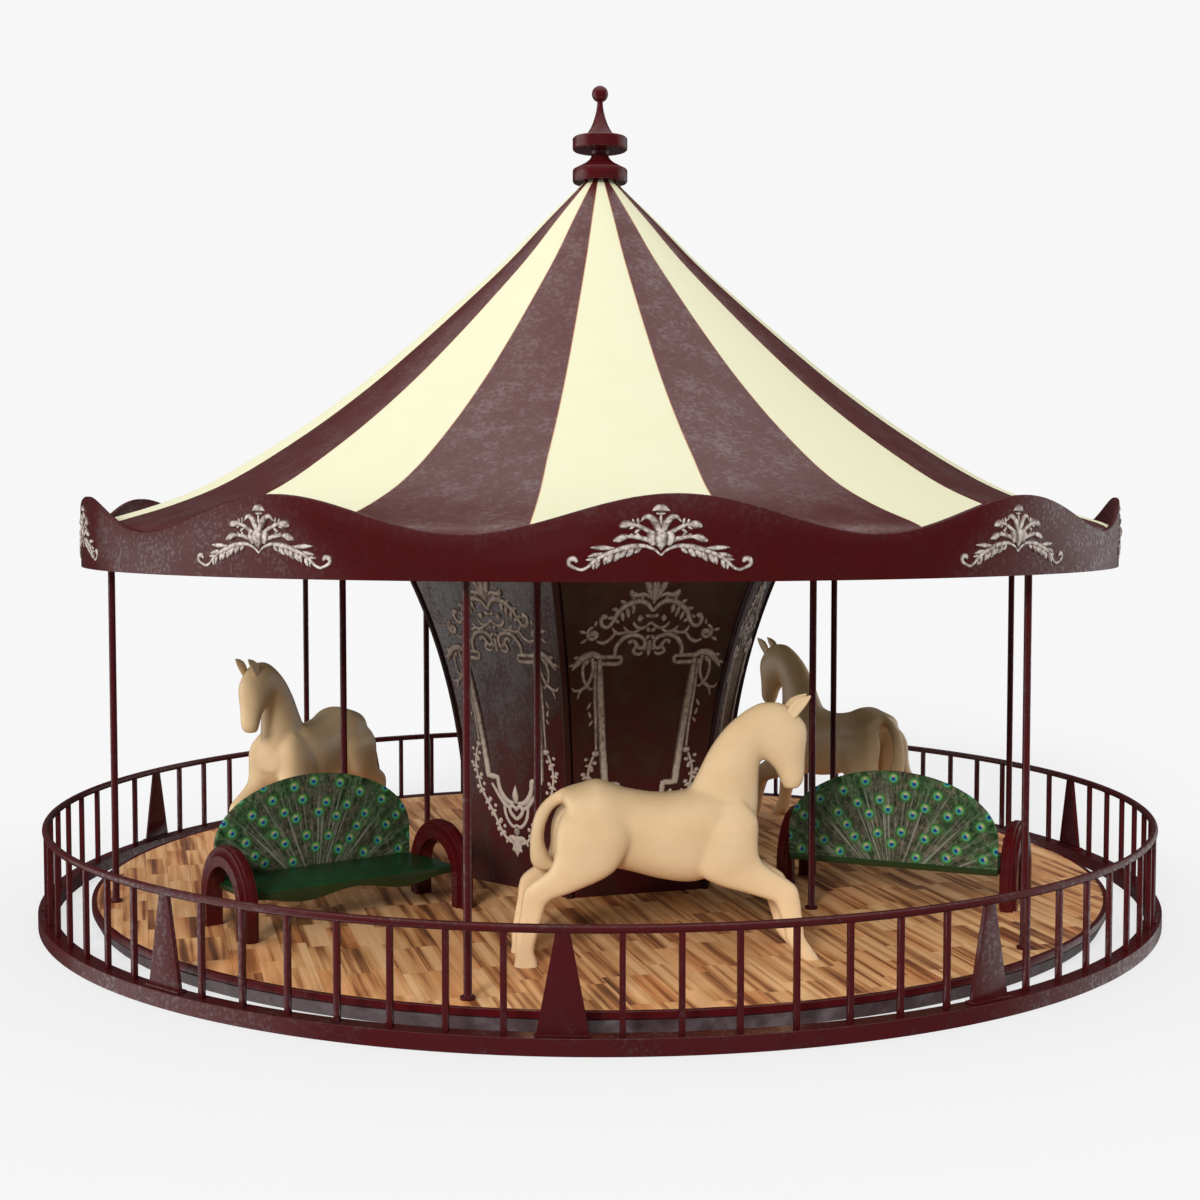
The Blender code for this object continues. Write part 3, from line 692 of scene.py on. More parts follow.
class Recipe(Tree):
    """A geometry node tree whose sizes are named inputs."""

    def __init__(self, name):
        super().__init__(bpy.data.node_groups.new(name, "GeometryNodeTree"))
        self.name = name
        self.tree.interface.new_socket("Geometry", in_out="OUTPUT", socket_type="NodeSocketGeometry")
        self.source = self.node("NodeGroupInput")
        self.values = {}

    def size(self, name, value, kind="NodeSocketFloat"):
        socket = self.tree.interface.new_socket(name, in_out="INPUT", socket_type=kind)
        self.values[socket.identifier] = value
        return self.source.outputs[name]

    def random(self, **fed):
        return self.node("FunctionNodeRandomValue", fed, data_type="FLOAT").outputs["Value"]

    def store(self, geometry, name, value, domain):
        fed = {"Geometry": geometry, "Name": name, "Value": value}
        return self.add("GeometryNodeStoreNamedAttribute", fed, data_type="FLOAT", domain=domain)

    def make(self, geometry, material):
        """Runs the tree and gives back the plain mesh it makes."""
        solid = self.add("GeometryNodeRealizeInstances", {"Geometry": geometry})
        painted = self.add("GeometryNodeSetMaterial", {"Geometry": solid, "Material": material})
        self.node("NodeGroupOutput", {0: painted})
        holder = helper(self.name, bpy.data.meshes.new(self.name))
        modifier = holder.modifiers.new("Recipe", "NODES")
        modifier.node_group = self.tree
        for identifier, value in self.values.items():
            modifier[identifier] = value
        return plain(holder, weld=0.0)


def ring_of(piece, count, first_azimuth, material, skip=0):
    """Copies a piece round the axis. With skip, every place whose number divides by it stays empty."""
    recipe = Recipe("ring of " + piece.name)
    source = recipe.size("Piece", piece, "NodeSocketObject")
    places = recipe.size("Places", count, "NodeSocketInt")
    first = recipe.size("First azimuth", math.radians(first_azimuth))
    pitch = recipe.size("Pitch", math.tau / count)
    shape = recipe.node("GeometryNodeObjectInfo", {"Object": source}).outputs["Geometry"]
    points = recipe.add("GeometryNodePoints", {"Count": places})
    index = recipe.add("GeometryNodeInputIndex")
    turn = recipe.xyz(z=recipe.plus(recipe.times(index, pitch), first))
    fed = {"Points": points, "Instance": shape, "Rotation": turn}
    if skip:
        fed["Selection"] = recipe.math("GREATER_THAN", recipe.math("MODULO", index, float(skip)), 0.5)
    ring = recipe.make(recipe.add("GeometryNodeInstanceOnPoints", fed), material)
    bpy.data.objects.remove(piece, do_unlink=True)
    return ring


def deliver_ring(piece, count, first_azimuth, name, material, slot_name, *stands_for):
    """Copies a piece round the turntable and delivers all its copies as one."""
    deliver(ring_of(piece, count, first_azimuth, material), name, TABLE, material, slot_name, *stands_for)


def moved(piece, x, y, z, degrees=0.0):
    """Turns a piece about the vertical, and then moves it."""
    piece.data.transform(Matrix.Translation((x, y, z)) @ Matrix.Rotation(math.radians(degrees), 4, "Z"))
    return piece


def box(size, centre):
    shape = bmesh.new()
    bmesh.ops.create_cube(shape, size=1.0)
    shape.transform(Matrix.Translation(centre) @ Matrix.Diagonal((*size, 1.0)))
    return from_bmesh(shape, "box")


def plate(outline, thickness):
    """A flat plate in the XZ plane, centred on Y = 0, from its outline points."""
    curve = bpy.data.curves.new("plate", "CURVE")
    curve.dimensions = "2D"
    curve.fill_mode = "BOTH"
    curve.extrude = thickness / 2
    spline = curve.splines.new("POLY")
    spline.points.add(len(outline) - 1)
    for point, (x, z) in zip(spline.points, outline):
        point.co = (x, z, 0.0, 1.0)
    spline.use_cyclic_u = True
    piece = helper("plate", curve)
    piece.rotation_euler.x = math.pi / 2
    return plain(piece)


def joined(pieces, name):
    """One object that holds several meshes."""
    shape = bmesh.new()
    for piece in pieces:
        shape.from_mesh(piece.data)
        bpy.data.objects.remove(piece, do_unlink=True)
    return from_bmesh(shape, name)


def skin(shape, loops, endless=False):
    """Faces between loops of equal size, and one at each end unless it is endless."""
    for near, far in zip(loops, [*loops[1:], loops[0]] if endless else loops[1:]):
        for i in range(len(near)):
            j = (i + 1) % len(near)
            shape.faces.new((near[i], near[j], far[j], far[i]))
    if not endless:
        shape.faces.new(loops[0])
        shape.faces.new(loops[-1])


def loft(rings, endless=False):
    """A closed skin over rings of points."""
    shape = bmesh.new()
    skin(shape, [[shape.verts.new(point) for point in ring] for ring in rings], endless)
    bmesh.ops.recalc_face_normals(shape, faces=shape.faces)
    return from_bmesh(shape)


# Floor


def floor_boards():
    """Short staggered boards, each a block of its own, trimmed to the round deck."""
    recipe = Recipe("floor boards")
    width = recipe.size("Board width", BOARD_W)
    length = recipe.size("Board length", BOARD_L)
    seam = recipe.size("Seam", BOARD_SEAM)
    depth = recipe.size("Depth", BOARD_DEPTH)
    # A few more columns and rows than the deck is wide, because the field is turned and its columns slide
    columns = int(2 * PLATFORM_R / BOARD_W) + 3
    rows = int(2 * PLATFORM_R / BOARD_L) + 4
    count = recipe.size("Boards", columns * rows, "NodeSocketInt")
    down_column = recipe.size("Boards in a column", float(rows))
    index = recipe.add("GeometryNodeInputIndex")
    column = recipe.math("FLOOR", recipe.over(recipe.plus(index, 0.5), down_column))
    row = recipe.minus(index, recipe.times(column, down_column))
    slide = recipe.random(ID=column, Seed=4)
    x = recipe.times(recipe.minus(column, columns / 2), width)
    y = recipe.times(recipe.plus(recipe.minus(row, rows / 2), slide), length)
    spot = recipe.xyz(x, y, recipe.times(depth, -0.5))
    points = recipe.add("GeometryNodePoints", {"Count": count, "Position": spot})
    size = recipe.xyz(recipe.minus(width, seam), recipe.minus(length, seam), depth)
    board = recipe.add("GeometryNodeMeshCube", {"Size": size})
    laid = recipe.add("GeometryNodeInstanceOnPoints", {"Points": points, "Instance": board})
    toned = recipe.store(laid, "board_tone", recipe.random(Seed=11), "INSTANCE")
    solid = recipe.add("GeometryNodeRealizeInstances", {"Geometry": toned})
    kept = recipe.add("GeometryNodeInputNamedAttribute", {"Name": "board_tone"}, data_type="FLOAT")
    solid = recipe.store(solid, "tone", kept, "FACE")
    turn = (0.0, 0.0, math.radians(BOARD_TURN))
    whole = recipe.add("GeometryNodeTransform", {"Geometry": solid, "Rotation": turn})
    boards = recipe.make(whole, FLOOR_WOOD)
    edge_r, reach = PLATFORM_R - DECK_RIM_T - BOARD_EDGE_GAP, TRIM_REACH
    trim = turned([(0.0, reach), (edge_r, reach), (edge_r, -reach), (0.0, -reach)])
    cut = boards.modifiers.new("Trim", "BOOLEAN")
    cut.operation = "INTERSECT"
    cut.object = trim
    boards = moved(plain(boards), 0.0, 0.0, DECK_TOP)
    bpy.data.objects.remove(trim, do_unlink=True)
    boards = plain(bevelled(boards, BOARD_EASE, 1))
    deliver(boards, "floor_boards", TABLE, FLOOR_WOOD, "floor_boards", "deck")
    radius = PLATFORM_R - DECK_RIM_T - TOUCH
    bottom, top = PLINTH_TOP + RUNNING_GAP, DECK_TOP - BOARD_DEPTH / 2
    bed = turned([(0.0, top), (radius, top), (radius, bottom), (0.0, bottom)])
    deliver(bed, "floor_bed", TABLE, BED_PAINT, "floor_boards")


# Base, curb and fence


def ring_profile(outer, inner, bottom, top):
    return softened([(outer, top), (outer, bottom), (inner, bottom), (inner, top)])


def base_and_curb():
    plinth = [(0.0, PLINTH_TOP), (PLATFORM_R - PLINTH_EASE, PLINTH_TOP)]
    plinth += [(PLATFORM_R, PLINTH_TOP - PLINTH_EASE), (PLINTH_FOOT_R, 0.0), (0.0, 0.0)]
    deliver(turned(plinth), "plinth_drum", BASE, PLINTH_PAINT, "plinth_paint", "plinth")
    bottom = PLINTH_TOP + RUNNING_GAP
    hoop = turned(ring_profile(PLATFORM_R, PLATFORM_R - DECK_RIM_T, bottom, DECK_TOP), closed=True)
    deliver(hoop, "deck_hoop", TABLE, RED_PAINT, "maroon_paint", "deck_rim")
    curb = turned(ring_profile(CURB_OUTER_R, CURB_INNER_R, 0.0, CURB_TOP), closed=True)
    deliver(curb, "fence_curb", BASE, MAROON, "maroon_paint", "curb")


def rail_ring():
    recipe = Recipe("fence rail")
    ring_r = recipe.size("Ring radius", FENCE_R)
    tube_r = recipe.size("Tube radius", RAIL_TUBE_R)
    height = recipe.size("Height", RAIL_Z)
    ring = recipe.add("GeometryNodeCurvePrimitiveCircle", {"Resolution": RAIL_STEPS, "Radius": ring_r})
    tube = recipe.add("GeometryNodeCurvePrimitiveCircle", {"Resolution": RAIL_TUBE_STEPS, "Radius": tube_r})
    rail = recipe.add("GeometryNodeCurveToMesh", {"Curve": ring, "Profile Curve": tube})
    raised = recipe.add("GeometryNodeTransform", {"Geometry": rail, "Translation": recipe.xyz(z=height)})
    return plain(smooth(recipe.make(raised, MAROON), 60.0))


def fence():
    foot = CURB_TOP + TOUCH
    # The pickets end inside the rail
    head = RAIL_Z - RAIL_TUBE_R * 0.7
    picket = bevelled(box((PICKET_SIDE, PICKET_SIDE, head - foot), (0.0, -FENCE_R, (head + foot) / 2)), EASE)
    slots = BAYS * (PICKETS_PER_BAY + 1)
    pickets = ring_of(smooth(plain(picket)), slots, FIRST_POST_AZ, MAROON, PICKETS_PER_BAY + 1)
    wide, narrow = POST_FOOT_W / 2, POST_HEAD_W / 2
    post = plate([(-wide, foot), (wide, foot), (narrow, RAIL_Z), (-narrow, RAIL_Z)], POST_T)
    post = moved(post, 0.0, -FENCE_R, 0.0)
    flange_w = POST_FOOT_W + POST_FLANGE_H
    flange = box((flange_w, POST_FLANGE_T, POST_FLANGE_H), (0.0, -FENCE_R, foot + POST_FLANGE_H / 2))
    post = smooth(plain(bevelled(joined([post, flange], "post"), EASE)))
    posts = ring_of(post, BAYS, FIRST_POST_AZ, MAROON)
    deliver(rail_ring(), "fence_rail", BASE, MAROON, "maroon_paint", *numbered("fence_bay", BAYS))
    deliver(pickets, "fence_pickets", BASE, MAROON, "maroon_paint")
    deliver(posts, "fence_posts", BASE, MAROON, "maroon_paint")


# Roof

# The outer face from the finial down to the lip: radius and height
CANOPY_SLOPE = [
    (0.107, CANOPY_TOP),
    (0.383, 4.301),
    (0.658, 4.022),
    (0.961, 3.747),
    (1.277, 3.472),
    (1.614, 3.197),
    (2.002, 2.918),
    (2.453, 2.643),
    (2.79, 2.5),
    (3.13, 2.396),
    (PLATFORM_R - 2 * TOUCH, CANOPY_LIP_Z),
]


def underside_height(radius):
    """The height of the roof's inner face at a radius."""
    for (near, high), (far, low) in zip(CANOPY_SLOPE, CANOPY_SLOPE[1:]):
        if near <= radius <= far:
            height = high + (low - high) * (radius - near) / (far - near)
            return height - CANOPY_T * math.hypot(far - near, high - low) / (far - near)
    return CANOPY_LIP_Z


def roof():
    outer = curve_through(CANOPY_SLOPE, 4)
    inner = []
    for here, after in zip(outer, outer[1:]):
        run, drop = after[0] - here[0], here[1] - after[1]
        long = math.hypot(run, drop)
        inner.append((here[0] - CANOPY_T * drop / long, here[1] - CANOPY_T * run / long))
    inner[0] = (inner[0][0], CANOPY_TOP)
    inner.append((outer[-1][0], outer[-1][1] - CANOPY_T))
    shell = turned([*outer, *reversed(inner)], ROOF_STEPS, closed=True)
    deliver(shell, "roof_shell", TABLE, STRIPES, "canopy_cream_paint", "canopy")


def round_axis(azimuth, radius, height):
    """A point from its azimuth in radians, its radius and its height."""
    return radius * math.sin(azimuth), -radius * math.cos(azimuth), height


def rounding_board():
    """The fascia ring: a rounded top edge that rises and falls in ten waves."""
    half, rounding = FASCIA_T / 2 - TOUCH / 2, FASCIA_ROUNDING
    middle = FASCIA_OUTER_R - half
    # Each point of the section: how far out it lies, and on which of the three levels
    section = [(-half, 0), (half, 0), (half, 1), (half - rounding, 2), (rounding - half, 2), (-half, 1)]
    rings = []
    for i in range(FASCIA_STEPS):
        azimuth = math.tau * i / FASCIA_STEPS
        top = FASCIA_WAVE_MID + FASCIA_WAVE * math.cos(BAYS * (azimuth - math.radians(FIRST_CREST_AZ)))
        levels = FASCIA_BOTTOM, top - rounding, top
        rings.append([round_axis(azimuth, middle + out, levels[level]) for out, level in section])
    board = smooth(loft(rings, endless=True), 50.0)
    deliver(board, "fascia_board", TABLE, FASCIA_PAINT, "maroon_paint", "rounding_board")


def poles():
    foot = DECK_TOP + TOUCH
    flange = foot + POLE_FOOT_H
    for from_axis, kind in ((OUTER_POLE_RING, "outer_pole"), (INNER_POLE_RING, "inner_pole")):
        top = underside_height(from_axis + POLE_R) - TOUCH
        # A small weld bead lies between the tube and its flange
        profile = [(0.0, top), (POLE_R, top), (POLE_R, flange + 0.006), (POLE_R + 0.004, flange + 0.001)]
        profile += [(POLE_FOOT_R - EASE, flange), (POLE_FOOT_R, flange - EASE), (POLE_FOOT_R, foot)]
        profile.append((0.0, foot))
        pole = moved(turned(profile, POLE_STEPS), 0.0, -from_axis, 0.0)
        stands_for = numbered(kind, SIDES)
        deliver_ring(pole, SIDES, FIRST_CORNER_AZ, kind + "s", MAROON, "maroon_paint", *stands_for)


def finial():
    """A ball on a flared neck, above a disc on a waisted foot."""
    base = CANOPY_TOP + TOUCH
    ball_r, ball_z = FINIAL_BALL_R, base + FINIAL_BALL_UP
    # The ball, from its top down to where the neck meets it
    profile = []
    for degrees in range(90, -56, -12):
        angle = math.radians(degrees)
        profile.append((abs(ball_r * math.cos(angle)), ball_z + ball_r * math.sin(angle)))
    neck = [(0.022, 0.47), (0.036, 0.41), (0.062, 0.345), (0.102, 0.29)]
    disc = [(0.168, 0.287), (0.176, 0.279), (0.176, 0.213), (0.168, 0.205)]
    waist = [(0.060, 0.200), (0.054, 0.180), (0.066, 0.150), (0.100, 0.122)]
    foot = [(0.170, 0.086), (0.176, 0.078), (0.176, 0.010), (0.170, 0.0), (0.0, 0.0)]
    runs = (neck, disc, waist, foot)
    neck, disc, waist, foot = ([(radius, base + up) for radius, up in run] for run in runs)
    profile += curve_through([(0.018, ball_z - 0.049), *neck], 4) + disc + curve_through(waist, 4) + foot
    deliver(turned(profile, FINIAL_STEPS), "roof_finial", TABLE, RED_PAINT, "maroon_paint", "finial")


# Carved ornament. A stroke is (across, up, radius) points on a flat sheet that is then laid on its surface.
# The makers of strokes take millimetres, with heights counted from foot, which is in metres

STROKE_TURNS = [math.radians(turn) for turn in (-20, 25, 65, 115, 155, 200)]


def stroke_tube(points, steps):
    """Rings of a tapering tube along a stroke: round in front, flat at the back, which sinks in."""
    path = curve_through(points, steps)
    rings = []
    for i, (x, z, radius) in enumerate(path):
        before, after = path[max(i - 1, 0)], path[min(i + 1, len(path) - 1)]
        along = Vector((after[0] - before[0], after[1] - before[1]))
        along = along.normalized() if along.length > 1e-9 else Vector((1.0, 0.0))
        side = Vector((-along.y, along.x))
        thick = max(radius, LEAST_STROKE_R)
        ring = []
        for turn in STROKE_TURNS:
            reach = thick * math.cos(turn)
            ring.append(Vector((x + side.x * reach, -thick * math.sin(turn), z + side.y * reach)))
        rings.append(ring)
    return rings


def carving(strokes, name, wrap, flatness, fullness, steps):
    """Strokes and their mirror images as one relief. wrap lays (across, out, up) on the surface below it."""
    shape = bmesh.new()
    # How far round the front of its stroke each point lies, which the relief paint turns into painted shade
    # and highlight
    lift = shape.verts.layers.float.new("lift")
    for points in strokes:
        on_axis = not any(x for x, _, _ in points)
        for hand in (1.0,) if on_axis else (1.0, -1.0):
            rings = stroke_tube([(x, z, radius * fullness) for x, z, radius in points], steps)
            loops = []
            for ring in rings:
                loop = [shape.verts.new(wrap(point.x * hand, -point.y * flatness, point.z)) for point in ring]
                for turn, vert in zip(STROKE_TURNS, loop):
                    vert[lift] = max(0.0, math.sin(turn))
                loops.append(loop)
            skin(shape, loops)
    bmesh.ops.recalc_face_normals(shape, faces=shape.faces)
    return smooth(from_bmesh(shape, name), 70.0)


def stroke(*points, foot=0.0):
    """A stem or band through its points."""
    return [(x / 1000, foot + up / 1000, radius / 1000) for x, up, radius in points]


def bud(x, up, radius):
    """A round knob."""
    x, up, radius = x / 1000, up / 1000, radius / 1000
    stations = ((-1.4, 0.0), (-1.0, 0.7), (0.0, 1.0), (1.0, 0.7), (1.4, 0.0))
    return [(x + radius * off, up, radius * full) for off, full in stations]


def lobe(x, up, degrees, length, width, foot=0.0):
    """A leaf lobe: narrow at its root, full in the middle, pointed at its tip."""
    x, up, length, width = x / 1000, foot + up / 1000, length / 1000, width / 1000
    angle = math.radians(degrees)
    c, s = math.cos(angle), math.sin(angle)
    stations = ((0.0, 0.25), (0.25, 0.75), (0.55, 1.0), (0.85, 0.55), (1.0, 0.0))
    return [(x + c * length * share, up + s * length * share, width * full) for share, full in stations]


def spiral(x, up, radius, start, turns, width):
    """A volute that winds in to its eye."""
    x, up, radius, width = x / 1000, up / 1000, radius / 1000, width / 1000
    points = []
    steps = 10
    for i in range(steps + 1):
        share = i / steps
        angle = math.radians(start + 360.0 * turns * share)
        reach = radius * (1.0 - 0.82 * share)
        swell = width * (0.75 + 0.5 * share) if share < 0.95 else width * 1.3
        points.append((x + reach * math.cos(angle), up + reach * math.sin(angle), swell))
    return points


def crest_strokes():
    """The ornament under a crest of the fascia: cap, palmette with knobbed arms, and two leafy scrolls."""
    stems = (
        ((0, 212, 22), (18, 210, 18), (32, 204, 9), (41, 199, 2)),
        ((0, 186, 8), (14, 186, 6), (22, 189, 2)),
        ((4, 94, 12), (16, 122, 20), (30, 150, 20), (52, 170, 16), (74, 170, 12), (94, 150, 4)),
        ((0, 130, 3), (0, 158, 10), (0, 180, 6)),
        ((30, 90, 16), (68, 112, 13), (105, 130, 12), (130, 137, 10)),
        ((128, 138, 8), (150, 138, 19), (172, 134, 20), (192, 126, 8)),
        ((20, 56, 20), (62, 66, 14), (112, 78, 13), (150, 80, 10)),
        ((148, 80, 8), (170, 78, 18), (196, 68, 18), (220, 60, 6)),
        ((0, 18, 4), (0, 50, 34), (0, 84, 40), (0, 116, 14)),
        ((34, 40, 12), (44, 70, 26), (44, 100, 18)),
        ((0, -6, 6), (26, 18, 8), (52, 30, 10), (88, 38, 12), (148, 32, 16), (205, 18, 15)),
        ((195, 20, 15), (240, 4, 14), (276, -12, 13), (311, -34, 11), (341, -62, 9), (371, -73, 9),
         (402, -62, 8)),
        ((396, -66, 9), (424, -48, 12), (420, -26, 15), (398, -24, 15), (388, -38, 8)),
    )
    leaves = (
        (92, 30, -40, 42, 13), (126, 30, -52, 56, 17), (158, 22, -48, 56, 16),
        (190, 14, -62, 56, 17), (222, 4, -60, 56, 17), (252, -4, -78, 48, 14),
        (284, -20, -72, 50, 14), (312, -38, -88, 34, 10), (206, 26, 2, 122, 14),
        (262, 4, -12, 78, 12), (296, -22, -6, 52, 10), (104, 134, 82, 34, 10),
        (124, 140, 70, 24, 8), (92, 118, -34, 38, 10), (122, 128, -24, 30, 9),
        (92, 72, 48, 34, 9), (122, 78, 40, 26, 8),
    )
    strokes = [stroke(*stem, foot=ORNAMENT_Z) for stem in stems]
    return strokes + [lobe(*leaf, foot=ORNAMENT_Z) for leaf in leaves]


def crests():
    def on_fascia(across, out, up):
        return round_axis(across / FASCIA_OUTER_R, FASCIA_OUTER_R + out, up)

    crest = carving(crest_strokes(), "crest", on_fascia, ORNAMENT_FLATNESS, 1.0, 5)
    deliver_ring(crest, BAYS, FIRST_ORNAMENT_AZ, "fascia_ornaments", SILVER, None)


# Housing


def core_corner_r(height):
    """The housing's corner radius at a height above the deck: it flares towards the top."""
    share = height / (CORE_TOP - DECK_TOP)
    return CORE_FOOT_R + CORE_FLARE * share**CORE_FLARE_POWER


def panel_depth(z):
    """How far a panel's outer face lies from the axis, measured square to the panel."""
    return (core_corner_r(z - DECK_TOP) - PANEL_SETBACK) * math.cos(math.pi / SIDES)


def core_loft(corners_at):
    """A skin up the housing through the (x, radius) corners that corners_at gives for each height."""
    foot, head = TOUCH, CORE_TOP - DECK_TOP
    rings = []
    for i in range(CORE_STEPS + 1):
        height = foot + (head - foot) * i / CORE_STEPS
        rings.append([Vector((x, -radius, DECK_TOP + height)) for x, radius in corners_at(height)])
    return smooth(loft(rings), 30.0)


def core_ribs():
    def corners_at(height):
        half, chamfer = RIB_W / 2, RIB_CHAMFER
        outer = core_corner_r(height)
        inner = outer - RIB_DEPTH
        face = [(-half, outer - chamfer), (-half + chamfer, outer), (half - chamfer, outer)]
        return [*face, (half, outer - chamfer), (half, inner), (-half, inner)]

    rib = core_loft(corners_at)
    deliver_ring(rib, SIDES, FIRST_CORNER_AZ, "housing_ribs", RIB_PAINT, "maroon_paint", "core_frame")


def core_panels():
    half_turn = math.pi / SIDES
    edge = (RIB_W / 2 + TOUCH + PANEL_T * math.sin(half_turn)) / math.cos(half_turn)

    def corners_at(height):
        corner = core_corner_r(height) - PANEL_SETBACK
        half, depth = corner * math.sin(half_turn) - edge, corner * math.cos(half_turn)
        return (-half, depth), (half, depth), (half, depth - PANEL_T), (-half, depth - PANEL_T)

    panel, stands_for = core_loft(corners_at), numbered("core_panel", SIDES)
    deliver_ring(panel, SIDES, FIRST_PANEL_AZ, "housing_panels", CORE_PAINT, "dark_panel_paint", *stands_for)


def panel_crown_strokes():
    """The carved crown of a housing panel: palmette, leafy double arch, rosette and C-scroll."""
    leaves = (
        (70, 1934, 70, 36, 9), (118, 1934, 42, 42, 10), (168, 1914, 28, 48, 11),
        (212, 1880, 6, 48, 11), (236, 1838, -12, 44, 10), (130, 1920, -98, 66, 13),
        (166, 1904, -104, 78, 13), (200, 1876, -108, 70, 12), (236, 1822, -150, 42, 10),
        (402, 1744, 14, 44, 10), (396, 1706, -34, 44, 10), (352, 1782, 100, 36, 9),
        (4, 1744, 45, 36, 12), (4, 1722, -45, 36, 12), (12, 1650, -35, 34, 8),
        (420, 1590, 6, 48, 11), (452, 1554, -16, 44, 10), (372, 1606, -78, 60, 11),
        (338, 1318, -62, 50, 8), (350, 1262, -112, 46, 8), (322, 1206, -60, 40, 7),
    )
    stems = [
        stroke((0, 1915, 6), (0, 1965, 18), (0, 2020, 22), (0, 2080, 12), (0, 2115, 0)),
        stroke((30, 1955, 8), (70, 1974, 11), (108, 1968, 12), (140, 1976, 19), (150, 2000, 6)),
        stroke((8, 1935, 6), (26, 1975, 15), (48, 2025, 18), (80, 2080, 6)),
        stroke((0, 1868, 8), (30, 1905, 12), (75, 1930, 14), (129, 1926, 15), (185, 1897, 14),
               (224, 1857, 13)),
        stroke((220, 1862, 13), (246, 1805, 11), (274, 1775, 10), (306, 1785, 11), (318, 1820, 12),
               (303, 1845, 12), (286, 1832, 12)),
        spiral(356, 1734, 46, 80, -1.0, 10),
        spiral(356, 1734, 26, -60, 0.8, 8),
        bud(356, 1734, 11),
        stroke((0, 1802, 7), (32, 1776, 9), (72, 1766, 9), (106, 1788, 8), (112, 1806, 4)),
        stroke((60, 1766, 6), (102, 1742, 9), (142, 1748, 9), (172, 1776, 5)),
        stroke((142, 1748, 8), (190, 1736, 9), (223, 1745, 9), (246, 1776, 4)),
        stroke((221, 1740, 8), (252, 1702, 9), (292, 1680, 10), (334, 1692, 6)),
        lobe(75, 1806, 90, 44, 18),
        bud(0, 1838, 12),
        lobe(6, 1838, 12, 40, 11),
        stroke((82, 1668, 12), (62, 1645, 11), (36, 1650, 10), (28, 1680, 10), (54, 1712, 11),
               (104, 1727, 12)),
        stroke((100, 1727, 12), (152, 1716, 12), (190, 1684, 12), (211, 1640, 11), (208, 1592, 9)),
        stroke((132, 1676, 11), (104, 1690, 10), (80, 1662, 10), (98, 1624, 10), (62, 1606, 9),
               (38, 1620, 7)),
        stroke((0, 1690, 10), (0, 1660, 14), (0, 1620, 11), (0, 1586, 0)),
        stroke((168, 1592, 9), (230, 1594, 11), (300, 1594, 12)),
        stroke((170, 1590, 8), (168, 1570, 10), (180, 1553, 11), (236, 1552, 12), (292, 1554, 12)),
        stroke((292, 1586, 14), (342, 1612, 17), (396, 1602, 19), (440, 1562, 17), (470, 1516, 4)),
        stroke((352, 1594, 10), (342, 1540, 10), (346, 1480, 9), (372, 1424, 10), (410, 1392, 9),
               (424, 1340, 3)),
        stroke((384, 1590, 9), (404, 1530, 9), (396, 1462, 8), (376, 1428, 8)),
        stroke((404, 1396, 8), (446, 1392, 7), (462, 1412, 3)),
        stroke((372, 1424, 8), (346, 1398, 7), (334, 1410, 3)),
    ]
    return stems + [lobe(*leaf) for leaf in leaves]


def panel_frame_strokes():
    """The two side bars, the bracketed foot and the garland that hangs below it."""
    strokes = [
        stroke((302, 1576, 12), (286, 1380, 19), (254, 1080, 19), (226, 812, 18)),
        stroke((328, 1570, 6), (318, 1380, 9), (300, 1180, 8), (290, 1015, 6)),
        stroke((240, 806, 12), (196, 803, 14), (150, 803, 13)),
        stroke((146, 812, 9), (144, 780, 13), (142, 748, 12)),
        stroke((144, 760, 12), (128, 715, 13), (96, 674, 14), (56, 652, 12), (18, 650, 8)),
        stroke((0, 645, 6), (0, 690, 20), (0, 732, 12), (0, 766, 0)),
        stroke((204, 756, 8), (150, 690, 10), (98, 634, 10), (50, 618, 8)),
        stroke((0, 548, 8), (36, 574, 10), (56, 606, 10), (40, 632, 10), (12, 622, 9), (0, 604, 6)),
        stroke((104, 640, 7), (96, 580, 9), (70, 530, 8), (30, 500, 8), (0, 512, 6)),
        stroke((0, 430, 14), (0, 392, 20), (0, 350, 16), (0, 312, 0)),
        lobe(0, 400, 42, 66, 14),
        lobe(0, 372, -28, 50, 12),
        bud(0, 470, 17),
        bud(292, 1001, 17),
    ]
    vine = [(298, 1000), (326, 930), (336, 862), (326, 790), (298, 710), (256, 642)]
    vine += [(206, 580), (168, 516), (130, 458), (86, 416), (30, 396)]
    strokes.append(stroke(*((x, up, 7) for x, up in vine)))
    for i, (before, (x, up)) in enumerate(zip(vine, vine[1:])):
        along = math.degrees(math.atan2(up - before[1], x - before[0]))
        hand = 1 if i % 2 else -1
        strokes.append(lobe(x, up, along + 58 * hand, 40, 9))
        strokes.append(lobe(x, up, along - 58 * hand, 32, 7))
        strokes.append(bud(x + 30 * hand, up + 12, 11))
        strokes.append(bud(x - 24 * hand, up + 36, 9.5))
    return strokes


def panel_ornaments():
    def on_panel(across, out, z):
        return across, -panel_depth(z) - out, z

    strokes = panel_crown_strokes() + panel_frame_strokes()
    relief = carving(strokes, "relief", on_panel, RELIEF_FLATNESS, RELIEF_FULLNESS, 3)
    deliver_ring(relief, SIDES, FIRST_PANEL_AZ, "housing_ornaments", RELIEF_PAINT, "dark_panel_paint")


# Benches


def arch_path(radius):
    """Up the rear leg, over the crown and down the front leg, as (x, height) points."""
    points = [(ARCH_CENTRE_X - radius, 0.0)]
    for i in range(ARCH_STEPS + 1):
        angle = math.pi * (1 - i / ARCH_STEPS)
        points.append((ARCH_CENTRE_X + radius * math.cos(angle), ARCH_SPRING_H + radius * math.sin(angle)))
    points.append((ARCH_CENTRE_X + radius, 0.0))
    return points


def mirrored(run):
    """The points of half a section on its other side, in the order that closes it."""
    return [(radius, -out) for radius, out in reversed(run)]


